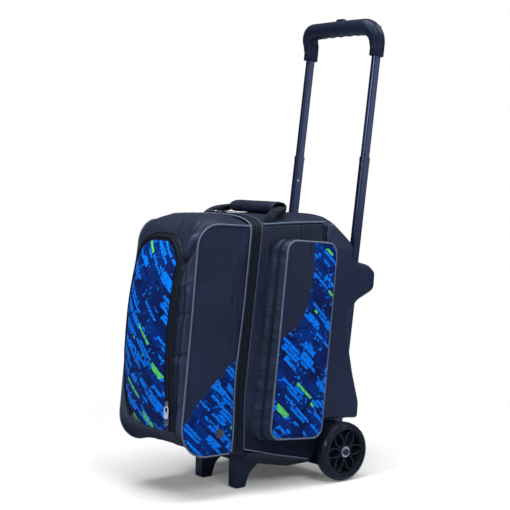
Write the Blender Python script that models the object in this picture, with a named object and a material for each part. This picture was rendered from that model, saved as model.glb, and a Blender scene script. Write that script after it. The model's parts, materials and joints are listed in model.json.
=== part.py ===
"""Two-ball roller bag: a ball tower on wheels, a fold-down shoe compartment and a telescoping handle.

Lengths are metres. X runs across the bag, Y from the front of the feet to the back, Z up from the floor.
"""
import math

import bmesh
import bpy
from mathutils import Vector

# Driving dimensions
GAP = 0.0004                      # clearance between neighbouring pieces
DATUM_Y = -0.09859                # puts the middle of the whole object over the origin
LEAN = math.radians(8.2)          # backward lean of the handle tubes
BODY_HALF = 0.120                 # half width of the fabric body
WALL = 0.005                      # padded fabric wall
CROWN = 0.018                     # rise of the top panels at the middle
CORNER_STEPS = 4

ZIP_LOW = (-0.030, 0.094)         # main zip line on the side, bottom and top
ZIP_HIGH = (0.020, 0.557)
TOWER_TOP_REAR = (0.226, 0.557)
TOWER_SHOULDER = (0.281, 0.503)
TOWER_BACK_LOW = (0.2285, 0.100)
SEAM_LOW = (0.160, 0.051)         # lowest run of the bottom seam

DOOR_FRONT_LOW = (-0.168, 0.092)
DOOR_FRONT_HIGH = (-0.1125, 0.567)
DOOR_LOW_RADIUS = 0.060
DOOR_HIGH_RADIUS = 0.030
DOOR_BADGE = (-0.078, 0.137)
BADGE_RADIUS = 0.010

# The pouch's rise, and the flap, run along the door front from its lower corner
POUCH = ((0.0, -0.002), (0.035, 0.003), (0.055, 0.013), (0.075, 0.022), (0.10, 0.028), (0.20, 0.031),
         (0.30, 0.028), (0.38, 0.018), (0.43, 0.008), (0.50, 0.002))
FLAP_HALF = 0.086
FLAP_LOW = 0.055
FLAP_HIGH = 0.436
FLAP_THICK = 0.006
FLAP_RADIUS = 0.045
SHOE_SLIDER_AT = 0.105

POCKET_CORNERS = ((0.023, 0.118), (0.074, 0.522), (0.206, 0.514), (0.162, 0.104))
POCKET_FOOT = ((-0.002, 0.116), (0.057, 0.524), (0.206, 0.514), (0.162, 0.104))   # gusset's seam on the bag
POCKET_RADIUS = 0.024
POCKET_DEPTH = 0.037
POCKET_LID = 0.007

TRAY_BOTTOM_HALF = 0.084
TRAY_WALL = 0.004
BEAM_FRONT = 0.189
BEAM_BACK = 0.2615
BEAM_LOW = 0.030
BEAM_HIGH = 0.098

FOOT_CENTRE = 0.060
FOOT_WIDTH = 0.024
FOOT_DEPTH = 0.027

WHEEL_RADIUS = 0.0635
AXLE_Y = 0.228
AXLE_RADIUS = 0.005
WHEEL_INNER = 0.1345
WHEEL_OUTER = 0.1685
RIM_RADIUS = 0.0515
SPOKE_DISC_RADIUS = 0.047
PETALS = 6
WHEEL_SEGMENTS = 36

TUBE_SPACING = 0.1107             # half the distance between the two handle tubes
TUBE_FOOT = (0.246, 0.112)        # centre of the tubes at their lower ends
OUTER_TUBE = (0.0164, 0.0248, 0.0145, 0.0221)     # outer width and depth, inner width and depth
MIDDLE_TUBE = (0.0138, 0.0214, 0.0128, 0.0195)
UPPER_TUBE = (0.0122, 0.0188, 0.0100, 0.0166)
OUTER_LENGTH = 0.342
MIDDLE_FROM, MIDDLE_TO = 0.285, 0.578
UPPER_FROM, UPPER_TO = 0.535, 0.853
COLLAR_HEIGHT = 0.012
GRIP_LOW = 0.814
GRIP_UNDER = 0.864
GRIP_TOP = 0.893
GRIP_HALF = 0.1255
GRIP_DEPTH = 0.016
SOCKET_TAPER = 0.84
SOCKET_HALF = 0.0102
FINGER_REACH = 0.072
FINGER_SCALLOPS = 5
BUTTON_HALF = 0.017

SHELF_FRONT = 0.012
SHELF_BACK = 0.2495
SHELF_HEIGHT = 0.285
SHELF_THICK = 0.010
CUP_OUTER = 0.078
CUP_INNER = 0.045
CUP_HEIGHT = 0.020

FABRIC = ("fabric_navy", (0.020, 0.024, 0.040), 0.75, 0.0)
PRINT = ("fabric_print", (0.010, 0.060, 0.300), 0.70, 0.0)
PLASTIC = ("plastic_charcoal", (0.018, 0.019, 0.023), 0.50, 0.0)
BLACK_TUBE = ("tube_black", (0.006, 0.006, 0.007), 0.22, 0.6)
RUBBER = ("tyre_black", (0.008, 0.008, 0.009), 0.30, 0.0)
RIM_GREY = ("rim_dark_grey", (0.020, 0.021, 0.028), 0.40, 0.0)
STEEL = ("steel_bright", (0.550, 0.550, 0.560), 0.30, 1.0)
FOAM = ("foam_grey", (0.060, 0.060, 0.065), 0.90, 0.0)
OWN_FRAME = ("bag_datum", "handle_frame")         # carriers whose pieces are drawn in their own frame


def material(spec):
    """Return the named finish, made on first use."""
    name, colour, roughness, metallic = spec
    found = bpy.data.materials.get(name)
    if found:
        return found
    made = bpy.data.materials.new(name)
    made.use_nodes = True
    shader = made.node_tree.nodes["Principled BSDF"]
    shader.inputs["Base Color"].default_value = (*colour, 1.0)
    shader.inputs["Roughness"].default_value = roughness
    shader.inputs["Metallic"].default_value = metallic
    return made


def from_frame(carrier):
    """Start of the frame that a carrier's pieces are drawn in, seen from the carrier."""
    start = Vector()
    while carrier.name not in OWN_FRAME:
        start -= carrier.location
        carrier = carrier.parent
    return start


def pivot(name, parent=None, at=(0.0, 0.0, 0.0), lean=0.0):
    """Add an empty that carries the pieces of one body, placed on its joint axis."""
    empty = bpy.data.objects.new(name, None)
    bpy.context.collection.objects.link(empty)
    empty.parent = parent
    empty.location = Vector(at) + (from_frame(parent) if parent else Vector())
    empty.rotation_euler = (-lean, 0.0, 0.0)
    return empty


def piece(name, shape, finish, carrier, smooth=35.0):
    """Add a solid to a carrier, which may sit on a joint axis away from the frame the solid is drawn in."""
    bmesh.ops.recalc_face_normals(shape, faces=shape.faces)
    mesh = bpy.data.meshes.new(name)
    shape.to_mesh(mesh)
    shape.free()
    mesh.shade_smooth()
    mesh.set_sharp_from_angle(angle=math.radians(smooth))
    mesh.materials.append(material(finish))
    solid = bpy.data.objects.new(name, mesh)
    bpy.context.collection.objects.link(solid)
    solid.parent = carrier
    solid.location = from_frame(carrier)
    return solid


def combine(solid, shape, operation):
    """Cut a shape out of a solid, or join the two, through a hidden helper."""
    bmesh.ops.recalc_face_normals(shape, faces=shape.faces)
    mesh = bpy.data.meshes.new(solid.name + "_tool")
    shape.to_mesh(mesh)
    shape.free()
    tool = bpy.data.objects.new(mesh.name, mesh)
    bpy.context.collection.objects.link(tool)
    tool.parent = solid.parent
    tool.location = solid.location
    tool.hide_render = True
    tool.display_type = "WIRE"
    step = solid.modifiers.new(operation.lower(), "BOOLEAN")
    step.operation = operation
    step.solver = "EXACT"
    step.object = tool


def rounded(corners, steps=CORNER_STEPS):
    """Outline through corners of (a, b) or (a, b, radius), with an arc at each one that has a radius."""
    points = []
    for index, corner in enumerate(corners):
        here = Vector(corner[:2])
        radius = corner[2] if len(corner) > 2 else 0.0
        if radius <= 0.0:
            points.append(here)
            continue
        back = (Vector(corners[index - 1][:2]) - here).normalized()
        ahead = (Vector(corners[(index + 1) % len(corners)][:2]) - here).normalized()
        half = back.angle(ahead) / 2.0
        centre = here + (back + ahead).normalized() * (radius / math.sin(half))
        start = here + back * (radius / math.tan(half)) - centre
        sweep = (math.pi - 2.0 * half) * (1.0 if back.cross(ahead) < 0.0 else -1.0)
        for step in range(steps + 1):
            turn = sweep * step / steps
            spun = Vector((start.x * math.cos(turn) - start.y * math.sin(turn),
                           start.x * math.sin(turn) + start.y * math.cos(turn)))
            points.append(centre + spun)
    return points


def inset(points, distance):
    """Outline moved inwards by a distance."""
    area = sum(a.cross(b) for a, b in zip(points, points[1:] + points[:1]))
    side = 1.0 if area > 0.0 else -1.0
    moved = []
    for index, here in enumerate(points):
        before = (here - points[index - 1]).normalized()
        after = (points[(index + 1) % len(points)] - here).normalized()
        normal = Vector((-(before + after).y, (before + after).x)).normalized() * side
        square = normal.dot(Vector((-before.y, before.x)) * side)
        moved.append(here + normal * (distance / max(0.3, square)))
    return moved


def strip(path, thickness):
    """Closed outline of a bent strip whose outer side follows a path of (a, b) points."""
    path = [Vector(p) for p in path]
    inner = []
    for index, here in enumerate(path):
        before = (here - path[max(index - 1, 0)]) or (path[1] - path[0])
        after = (path[min(index + 1, len(path) - 1)] - here) or before
        along = (before.normalized() + after.normalized()).normalized()
        inner.append(here + Vector((along.y, -along.x)) * thickness)
    return path + inner[::-1]


def prism(points, low, high, axis="X"):
    """Outline pulled out along X, or an (x, z) outline along Y."""
    shape = bmesh.new()
    place = (lambda p, d: (d, p[0], p[1])) if axis == "X" else (lambda p, d: (p[0], d, p[1]))
    near = [shape.verts.new(place(p, low)) for p in points]
    far = [shape.verts.new(place(p, high)) for p in points]
    shape.faces.new(near)
    shape.faces.new(far)
    for i in range(len(points)):
        j = (i + 1) % len(points)
        shape.faces.new((near[i], near[j], far[j], far[i]))
    return shape


def frame_prism(outer, inner, low, high):
    """Ring between two outlines with the same number of points, pulled out along X."""
    shape = bmesh.new()
    rings = [[shape.verts.new((x, p[0], p[1])) for p in points]
             for points, x in ((outer, low), (outer, high), (inner, high), (inner, low))]
    for ring, following in zip(rings, rings[1:] + rings[:1]):
        for i in range(len(outer)):
            j = (i + 1) % len(outer)
            shape.faces.new((ring[i], ring[j], following[j], following[i]))
    return shape


def soften(shape, width, keep, segments=2):
    """Round the edges that pass a test on their two ends."""
    edges = [edge for edge in shape.edges if keep(edge.verts[0].co, edge.verts[1].co)]
    bmesh.ops.bevel(shape, geom=edges, offset=width, segments=segments, profile=0.5, affect="EDGES")
    return shape


def block(x, y, z):
    """Box between three pairs of limits."""
    return prism([(y[0], z[0]), (y[1], z[0]), (y[1], z[1]), (y[0], z[1])], *x)


def turned(profile, y, z, segments):
    """Ring made by turning a closed (x, radius) profile about a line along X."""
    shape = bmesh.new()
    rings = []
    for step in range(segments):
        turn = 2.0 * math.pi * step / segments
        rings.append([shape.verts.new((x, y + r * math.sin(turn), z + r * math.cos(turn)))
                      for x, r in profile])
    for ring, following in zip(rings, rings[1:] + rings[:1]):
        for i in range(len(profile)):
            j = (i + 1) % len(profile)
            shape.faces.new((ring[i], ring[j], following[j], following[i]))
    return shape


def rod(low, high, y, z, radius, segments=16):
    """Round bar along X."""
    points = [Vector((y + radius * math.cos(2.0 * math.pi * i / segments),
                      z + radius * math.sin(2.0 * math.pi * i / segments))) for i in range(segments)]
    return prism(points, low, high)


def crown_rise(share):
    """Rise of a crowned panel, as a share of its middle's, from the middle (0) to an edge (1)."""
    return 1.0 - share ** 4


def top_height(x):
    """Height of the top panels at a distance across the bag."""
    return ZIP_HIGH[1] + CROWN * crown_rise(abs(x) / (BODY_HALF - WALL - GAP))


def crowned_sheet(path, half, rises, thickness, columns=8):
    """Sheet across the bag along a path of (y, z) points, bowed outwards by a rise at each point."""
    path = [Vector(p) for p in path]
    shape = bmesh.new()
    layers = []
    for depth in (0.0, thickness):
        grid = []
        for index, here in enumerate(path):
            along = (path[min(index + 1, len(path) - 1)] - path[max(index - 1, 0)]).normalized()
            normal = Vector((-along.y, along.x))
            row = []
            for column in range(columns + 1):
                share = 2.0 * column / columns - 1.0
                spot = here + normal * (rises[index] * crown_rise(share) - depth)
                row.append(shape.verts.new((share * half, spot.x, spot.y)))
            grid.append(row)
        layers.append(grid)
    rows = range(len(path) - 1)
    for grid in layers:
        for i in rows:
            for j in range(columns):
                shape.faces.new((grid[i][j], grid[i + 1][j], grid[i + 1][j + 1], grid[i][j + 1]))
    top, low = layers
    for i in rows:
        for j in (0, columns):
            shape.faces.new((top[i][j], top[i + 1][j], low[i + 1][j], low[i][j]))
    for i in (0, len(path) - 1):
        for j in range(columns):
            shape.faces.new((top[i][j], top[i][j + 1], low[i][j + 1], low[i][j]))
    return shape


def between(start, end, share):
    """Point part of the way along a line."""
    return Vector(start) + (Vector(end) - Vector(start)) * share


def seam_height(y):
    """Height of the tower's bottom seam, which falls towards the wheels."""
    fall = (SEAM_LOW[1] - ZIP_LOW[1]) / (SEAM_LOW[0] - ZIP_LOW[0])
    return ZIP_LOW[1] + fall * (min(y, SEAM_LOW[0]) - ZIP_LOW[0])


def belly_height(y):
    """Height of the tray's underside."""
    return max(0.032, 0.060 - 0.217 * (y - 0.002))


def tray_floor(y):
    """Height of the tray's floor."""
    return belly_height(y) + TRAY_WALL


def mirrored(name, side):
    """Name of one of a left and right pair."""
    return name + ("_right" if side > 0 else "_left")


def span(side, near, far):
    """Limits across the bag, on its right or left side."""
    return (near, far) if side > 0 else (-far, -near)


def tower(bag):
    """Padded side and top panels of the ball compartment, with its shelf and ball cups."""
    side_line = [(ZIP_LOW[0] + 0.001, ZIP_LOW[1] + 0.001), (ZIP_HIGH[0] + 0.001, ZIP_HIGH[1]),
                 (*TOWER_TOP_REAR, 0.020), (*TOWER_SHOULDER, 0.030), TOWER_BACK_LOW,
                 (BEAM_FRONT - 0.0015, TOWER_BACK_LOW[1]), (BEAM_FRONT - 0.0015, SEAM_LOW[1]), SEAM_LOW]
    for side in (1, -1):
        panel = prism(rounded(side_line), *span(side, BODY_HALF - WALL, BODY_HALF))
        piece(mirrored("side_panel", side), panel, FABRIC, bag)
    inner = BODY_HALF - WALL - GAP
    over = rounded([(ZIP_HIGH[0] + 0.001, ZIP_HIGH[1]), (*TOWER_TOP_REAR, 0.020), (*TOWER_SHOULDER, 0.0)])
    rises = [CROWN * (1.0 - (index / (len(over) - 1.0)) ** 4) for index in range(len(over))]
    piece("top_panel", crowned_sheet(over, inner, rises, WALL), FABRIC, bag)

    shelf = block((-inner + GAP, inner - GAP), (SHELF_FRONT, SHELF_BACK),
                  (SHELF_HEIGHT, SHELF_HEIGHT + SHELF_THICK))
    board = soften(shelf, 0.018, lambda a, b: a.x == b.x and max(a.y, b.y) < 0.02, 3)
    piece("ball_shelf", board, FOAM, bag)
    for name, y in (("ball_cup_lower", 0.095), ("ball_cup_upper", 0.142)):
        cup = bmesh.new()
        profile = ((CUP_INNER, 0.0), (CUP_OUTER, 0.0), (CUP_OUTER, 0.6), (CUP_OUTER - 0.014, 1.0),
                   (CUP_INNER + 0.012, 0.55))
        rings = []
        for step in range(24):
            turn = math.pi * step / 12.0
            ring = []
            for r, h in profile:
                spot = y + r * math.cos(turn)
                seat = tray_floor(spot) if name == "ball_cup_lower" else SHELF_HEIGHT + SHELF_THICK
                ring.append(cup.verts.new((r * math.sin(turn), spot, seat + 0.001 + CUP_HEIGHT * h)))
            rings.append(ring)
        for ring, following in zip(rings, rings[1:] + rings[:1]):
            for i in range(len(profile)):
                j = (i + 1) % len(profile)
                cup.faces.new((ring[i], ring[j], following[j], following[i]))
        piece(name, cup, FOAM, bag)


def base(bag):
    """Moulded tray with its two front feet, and the beam that carries the axle."""
    stations = (-0.008, 0.002, 0.040, 0.095, 0.131, SEAM_LOW[0], BEAM_FRONT - 0.0015)
    lows = [0.078] + [belly_height(y) for y in stations[1:]]
    tray = bmesh.new()
    rows = []
    for y, low in zip(stations, lows):
        top = seam_height(y) - GAP
        outer = [(-BODY_HALF, top), (-TRAY_BOTTOM_HALF, low), (TRAY_BOTTOM_HALF, low), (BODY_HALF, top)]
        rows.append([tray.verts.new((x, y, z)) for x, z in outer])
    for row, following in zip(rows, rows[1:]):
        for i in range(4):
            j = (i + 1) % 4
            tray.faces.new((row[i], row[j], following[j], following[i]))
    tray.faces.new(rows[0])
    tray.faces.new(rows[-1])
    solid = piece("base_tray", tray, PLASTIC, bag)
    hollow = bmesh.new()
    rows = []
    for y in (stations[1] + TRAY_WALL, *stations[2:-1], stations[-1] - TRAY_WALL):
        floor = tray_floor(y)
        top = seam_height(y) + 0.010
        inner_half = TRAY_BOTTOM_HALF - TRAY_WALL
        slope = (BODY_HALF - TRAY_BOTTOM_HALF) / (seam_height(y) - belly_height(y))
        wide = inner_half + slope * (top - floor)
        rows.append([hollow.verts.new((x, y, z)) for x, z in (
            (-wide, top), (-inner_half, floor), (inner_half, floor), (wide, top))])
    for row, following in zip(rows, rows[1:]):
        for i in range(4):
            j = (i + 1) % 4
            hollow.faces.new((row[i], row[j], following[j], following[i]))
    hollow.faces.new(rows[0])
    hollow.faces.new(rows[-1])
    combine(solid, hollow, "DIFFERENCE")

    for side in (1, -1):
        low, high = span(side, FOOT_CENTRE - FOOT_WIDTH / 2.0, FOOT_CENTRE + FOOT_WIDTH / 2.0)
        profile = [(0.000, 0.000), (FOOT_DEPTH, 0.000, 0.004), (0.037, 0.030, 0.040),
                   (0.062, belly_height(0.062) - GAP), (0.002, belly_height(0.002) - GAP)]
        foot = soften(prism(rounded(profile), low, high), 0.004,
                      lambda a, b: max(a.y, b.y) < 0.001 and max(a.z, b.z) < 0.062, 2)
        piece(mirrored("front_foot", side), foot, PLASTIC, bag)

    beam = prism(rounded([(BEAM_FRONT, BEAM_LOW, 0.008), (BEAM_BACK, BEAM_LOW, 0.014),
                          (BEAM_BACK - 0.004, BEAM_HIGH, 0.006), (BEAM_FRONT, BEAM_HIGH, 0.006)]),
                 -BODY_HALF, BODY_HALF)
    beam = piece("axle_beam", beam, PLASTIC, bag)
    for side in (1, -1):
        boss = rod(*span(side, BODY_HALF - 0.004, WHEEL_INNER - 0.0015), AXLE_Y, WHEEL_RADIUS, 0.018, 20)
        combine(beam, boss, "UNION")
        pocket = block(span(side, 0.016, 0.100), (BEAM_FRONT + 0.006, BEAM_BACK - 0.008),
                       (BEAM_LOW - 0.01, 0.052))
        combine(beam, pocket, "DIFFERENCE")
    combine(beam, rod(-0.2, 0.2, AXLE_Y, WHEEL_RADIUS, AXLE_RADIUS + GAP), "DIFFERENCE")
    axle_end = WHEEL_OUTER - 0.006
    piece("axle", rod(-axle_end, axle_end, AXLE_Y, WHEEL_RADIUS, AXLE_RADIUS), STEEL, bag)
    for side in (1, -1):
        low, high = WHEEL_OUTER - 0.0056, WHEEL_OUTER - 0.0006
        ends = ((low, 0.0072), (high - 0.0015, 0.0072), (high, 0.0055))
        bolt = bmesh.new()
        rings = [[bolt.verts.new((side * x, AXLE_Y + r * math.cos(i * math.pi / 8.0),
                                  WHEEL_RADIUS + r * math.sin(i * math.pi / 8.0))) for i in range(16)]
                 for x, r in ends]
        bolt.faces.new(rings[0])
        bolt.faces.new(rings[-1])
        for ring, following in zip(rings, rings[1:]):
            for i in range(16):
                j = (i + 1) % 16
                bolt.faces.new((ring[i], ring[j], following[j], following[i]))
        piece(mirrored("axle_bolt", side), bolt, STEEL, bag)


def wheel(bag, side):
    """Tyre, bushing and a rim whose six petals each have two curved ribs."""
    axis = pivot(mirrored("wheel", side), bag, (0.0, AXLE_Y, WHEEL_RADIUS))
    middle = side * (WHEEL_INNER + WHEEL_OUTER) / 2.0
    half = (WHEEL_OUTER - WHEEL_INNER) / 2.0
    tread = [(-half, RIM_RADIUS + GAP), (-half, WHEEL_RADIUS - 0.0095)]
    for step in range(7):
        turn = math.pi * (step / 6.0 - 0.5)
        tread.append((half * 0.97 * math.sin(turn), WHEEL_RADIUS - 0.007 + 0.007 * math.cos(turn)))
    tread += [(half, WHEEL_RADIUS - 0.0095), (half, RIM_RADIUS + GAP)]
    tyre = turned([(middle + x, r) for x, r in tread], AXLE_Y, WHEEL_RADIUS, WHEEL_SEGMENTS)
    piece(mirrored("tyre", side), tyre, RUBBER, axis)

    bore = 0.0105
    deep = half - 0.002
    web = 0.003
    outside = side
    rim_profile = [(-outside * deep, bore), (-outside * deep, 0.017), (-outside * web, 0.019),
                   (-outside * web, SPOKE_DISC_RADIUS), (-outside * deep, SPOKE_DISC_RADIUS + 0.001),
                   (-outside * deep, RIM_RADIUS), (outside * deep, RIM_RADIUS),
                   (outside * deep, SPOKE_DISC_RADIUS + 0.001), (outside * web, SPOKE_DISC_RADIUS),
                   (outside * web, 0.015), (outside * (deep - 0.001), 0.0135),
                   (outside * (deep - 0.001), bore)]
    rim = turned([(middle + x, r) for x, r in rim_profile], AXLE_Y, WHEEL_RADIUS, WHEEL_SEGMENTS)
    rim = piece(mirrored("rim", side), rim, RIM_GREY, axis)
    petals = bmesh.new()
    inner_end, outer_end = 0.0138, SPOKE_DISC_RADIUS + 0.0022
    low, high = sorted((middle + outside * (web - 0.001), middle + outside * (deep - 0.003)))
    for petal in range(PETALS):
        turn = 2.0 * math.pi * (petal + 0.5) / PETALS
        loops = []
        for swell in (1.0, 0.72):
            line = []
            for way in (1.0, -1.0):
                for step in range(6):
                    share = (step if way > 0 else 5 - step) / 5.0
                    trim = 0.0045 if swell < 1.0 else 0.0
                    radius = inner_end + trim + (outer_end - inner_end - 2.0 * trim) * share
                    spread = (0.14 + 0.19 * math.sin(math.pi * share)) * (1.0 - 0.25 * share)
                    angle = turn + way * swell * spread
                    line.append(Vector((AXLE_Y + radius * math.sin(angle),
                                        WHEEL_RADIUS + radius * math.cos(angle))))
            loops.append(line)
        leaf = frame_prism(loops[0], loops[1], low, high)
        copied = bpy.data.meshes.new("leaf")
        leaf.to_mesh(copied)
        leaf.free()
        petals.from_mesh(copied)
        bpy.data.meshes.remove(copied)
    combine(rim, petals, "UNION")

    sleeve = ((-deep, AXLE_RADIUS + GAP), (-deep, bore - GAP), (deep - 0.0045, bore - GAP),
              (deep - 0.0045, AXLE_RADIUS + GAP))
    bush = turned([(middle + outside * x, r) for x, r in sleeve], AXLE_Y, WHEEL_RADIUS, 20)
    piece(mirrored("wheel_bushing", side), bush, STEEL, axis)


def guards(bag):
    """Moulded side guards, hooked round the handle tubes at the shoulder and at the foot."""
    line = [(0.178, 0.130, 0.006), (0.212, 0.554, 0.008), (0.229, 0.560, 0.016), (0.280, 0.506, 0.012),
            (0.283, 0.474, 0.008), (0.326, 0.459, 0.014), (0.343, 0.443, 0.012), (0.340, 0.407, 0.012),
            (0.289, 0.383, 0.018), (0.264, 0.345, 0.030), (0.267, 0.290, 0.120), (0.280, 0.224, 0.120),
            (0.297, 0.160, 0.050), (0.294, 0.124, 0.006), (0.266, 0.1275, 0.004)]
    for side in (1, -1):
        low, high = span(side, BODY_HALF + 0.002, BODY_HALF + 0.010)
        face = high if side > 0 else low
        plate = soften(prism(rounded(line, 3), low, high), 0.0045,
                       lambda a, b: max(abs(a.x - face), abs(b.x - face)) < 1e-6, 2)
        plate = piece(mirrored("side_guard", side), plate, PLASTIC, bag)
        hook = [(0.327, 0.4575), (0.337, 0.451), (0.3415, 0.442), (0.3405, 0.424), (0.3385, 0.409),
                (0.330, 0.403)]
        heel = [(0.2925, 0.174), (0.2945, 0.155), (0.2925, 0.1265)]
        for path, reach in ((hook, 0.100), (heel, 0.104)):
            combine(plate, prism(strip(path, 0.0035), *span(side, reach, BODY_HALF + 0.004)), "UNION")


def tube(size, low, high, x):
    """Hollow tube of rectangular section along the handle."""
    wide, deep, bore_wide, bore_deep = (value / 2.0 for value in size)
    shape = bmesh.new()
    around = ((-1.0, -1.0), (1.0, -1.0), (1.0, 1.0), (-1.0, 1.0))
    outer = rounded([(a * wide, b * deep, 0.003) for a, b in around], 2)
    bore = rounded([(a * bore_wide, b * bore_deep, 0.002) for a, b in around], 2)
    rings = [[shape.verts.new((x + p.x, p.y, z)) for p in points]
             for points, z in ((outer, low), (outer, high), (bore, high), (bore, low))]
    for ring, following in zip(rings, rings[1:] + rings[:1]):
        for i in range(len(outer)):
            j = (i + 1) % len(outer)
            shape.faces.new((ring[i], ring[j], following[j], following[i]))
    return shape


def handle(bag):
    """Back board, fixed tubes with their brackets, and the two sliding stages with grip and release."""
    frame = pivot("handle_frame", bag, (0.0, *TUBE_FOOT), LEAN)
    stages = {name: pivot(name, frame) for name in ("handle_middle", "handle_top", "handle_release")}
    inner = BODY_HALF - WALL - GAP
    board = soften(block((-inner, inner), (-0.0195, -0.0150), (-0.008, 0.378)), 0.012,
                   lambda a, b: a.x == b.x and min(a.z, b.z) > 0.37, 3)
    piece("back_board", board, PLASTIC, frame)
    clear = 0.0003
    for name, low, high in (("tube_bracket_lower", 0.004, 0.026), ("tube_bracket_upper", 0.312, 0.334)):
        ends = TUBE_SPACING + OUTER_TUBE[0] / 2.0 - 0.0012
        bar = soften(block((-ends, ends), (-0.0148, 0.0165), (low, high)), 0.003,
                     lambda a, b: min(a.y, b.y) > 0.01, 2)
        bar = piece(name, bar, PLASTIC, frame)
        for side in (1, -1):
            hole = block(span(side, TUBE_SPACING - OUTER_TUBE[0] / 2.0 - clear, TUBE_SPACING + 0.02),
                         (-OUTER_TUBE[1] / 2.0 - clear, OUTER_TUBE[1] / 2.0 + clear),
                         (low - 0.01, high + 0.01))
            combine(bar, hole, "DIFFERENCE")
    for side in (1, -1):
        x = side * TUBE_SPACING
        piece(mirrored("outer_tube", side), tube(OUTER_TUBE, 0.0, OUTER_LENGTH, x), BLACK_TUBE, frame)
        piece(mirrored("middle_tube", side), tube(MIDDLE_TUBE, MIDDLE_FROM, MIDDLE_TO, x), BLACK_TUBE,
              stages["handle_middle"])
        collar = (0.0143, 0.0219, UPPER_TUBE[0] + 0.0006, UPPER_TUBE[1] + 0.0006)
        ring = tube(collar, MIDDLE_TO + GAP, MIDDLE_TO + COLLAR_HEIGHT, x)
        piece(mirrored("tube_collar", side), ring, PLASTIC, stages["handle_middle"])
        piece(mirrored("upper_tube", side), tube(UPPER_TUBE, UPPER_FROM, UPPER_TO, x), BLACK_TUBE,
              stages["handle_top"])
    grip(stages["handle_top"])
    release(stages["handle_release"])


def grip(stage):
    """Grip in a front and a rear shell, with finger scallops under the bar and a socket at each end."""
    outer, inner = TUBE_SPACING + SOCKET_HALF, TUBE_SPACING - SOCKET_HALF
    crook = inner - 0.002
    outline = [(-outer, GRIP_LOW, 0.003), (-GRIP_HALF, 0.856, 0.040), (-GRIP_HALF + 0.003, GRIP_TOP, 0.026),
               (0.0, GRIP_TOP + 0.002), (GRIP_HALF - 0.003, GRIP_TOP, 0.026), (GRIP_HALF, 0.856, 0.040),
               (outer, GRIP_LOW, 0.003), (inner, GRIP_LOW, 0.003), (crook, GRIP_UNDER - 0.001, 0.022)]
    points = rounded(outline, 3)
    pitch = 2.0 * FINGER_REACH / FINGER_SCALLOPS
    for finger in range(FINGER_SCALLOPS):
        for step in range(4):
            x = FINGER_REACH - pitch * (finger + step / 4.0)
            points.append(Vector((x, GRIP_UNDER + 0.0022 * math.sin(math.pi * step / 4.0))))
    points.append(Vector((-FINGER_REACH, GRIP_UNDER)))
    points += rounded([(0.0, GRIP_UNDER), (-crook, GRIP_UNDER - 0.001, 0.022), (-inner, GRIP_LOW, 0.003),
                       (-outer, GRIP_LOW)], 3)[1:-1]
    for name, near, far in (("grip_front", -GRIP_DEPTH, -0.0002), ("grip_rear", 0.0002, GRIP_DEPTH)):
        face = near if near < -0.001 else far
        half = prism(points, near, far, "Y")
        for vert in half.verts:
            if vert.co.z < GRIP_LOW + 0.02:
                vert.co.y *= SOCKET_TAPER
        half = soften(half, 0.0075,
                      lambda a, b: min(abs(a.y), abs(b.y)) > 0.01, 3)
        half = piece(name, half, PLASTIC, stage)
        combine(half, block((-0.1162, 0.1162), (-0.0060, 0.0060), (0.8690, 0.8820)), "DIFFERENCE")
        button_gap = (-BUTTON_HALF - 0.0006, BUTTON_HALF + 0.0006)
        combine(half, block(button_gap, (-0.0060, 0.0060), (0.875, 0.910)), "DIFFERENCE")
        for side in (1, -1):
            wide = UPPER_TUBE[0] / 2.0 + 0.0003
            deep = UPPER_TUBE[1] / 2.0 + 0.0003
            across = span(side, TUBE_SPACING - wide, TUBE_SPACING + wide)
            socket = block(across, (-deep, deep), (0.80, 0.8695))
            combine(half, socket, "DIFFERENCE")


def release(stage):
    """Push button on a yoke that works a rod down each upper tube."""
    proud = GRIP_TOP + 0.0045
    button = rounded([(-BUTTON_HALF, 0.8814), (BUTTON_HALF, 0.8814), (BUTTON_HALF, proud, 0.005),
                      (-BUTTON_HALF, proud, 0.005)])
    piece("release_button", prism(button, -0.0054, 0.0054, "Y"), PLASTIC, stage)
    piece("release_yoke", block((-0.1145, 0.1145), (-0.0040, 0.0040), (0.8745, 0.8810)), STEEL, stage)
    for side in (1, -1):
        x = side * TUBE_SPACING
        rod_shape = block((x - 0.002, x + 0.002), (-0.002, 0.002), (UPPER_FROM + 0.012, 0.8741))
        piece(mirrored("push_rod", side), rod_shape, STEEL, stage)


def door_line(along, out=0.0):
    """Point on the door's front, a distance up from its lower corner and out from its face."""
    up = (Vector(DOOR_FRONT_HIGH) - Vector(DOOR_FRONT_LOW)).normalized()
    return Vector(DOOR_FRONT_LOW) + up * along + Vector((-up.y, up.x)) * out


def pouch_rise(along):
    """Rise of the pouch at the middle of the door front."""
    for (low, near), (high, far) in zip(POUCH, POUCH[1:]):
        if along <= high:
            return near + (far - near) * (along - low) / (high - low)
    return POUCH[-1][1]


def pouch_out(x, along):
    """Distance of the pouch's face from the line of the door front."""
    return pouch_rise(along) * crown_rise(abs(x) / (BODY_HALF - WALL - GAP))


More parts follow.
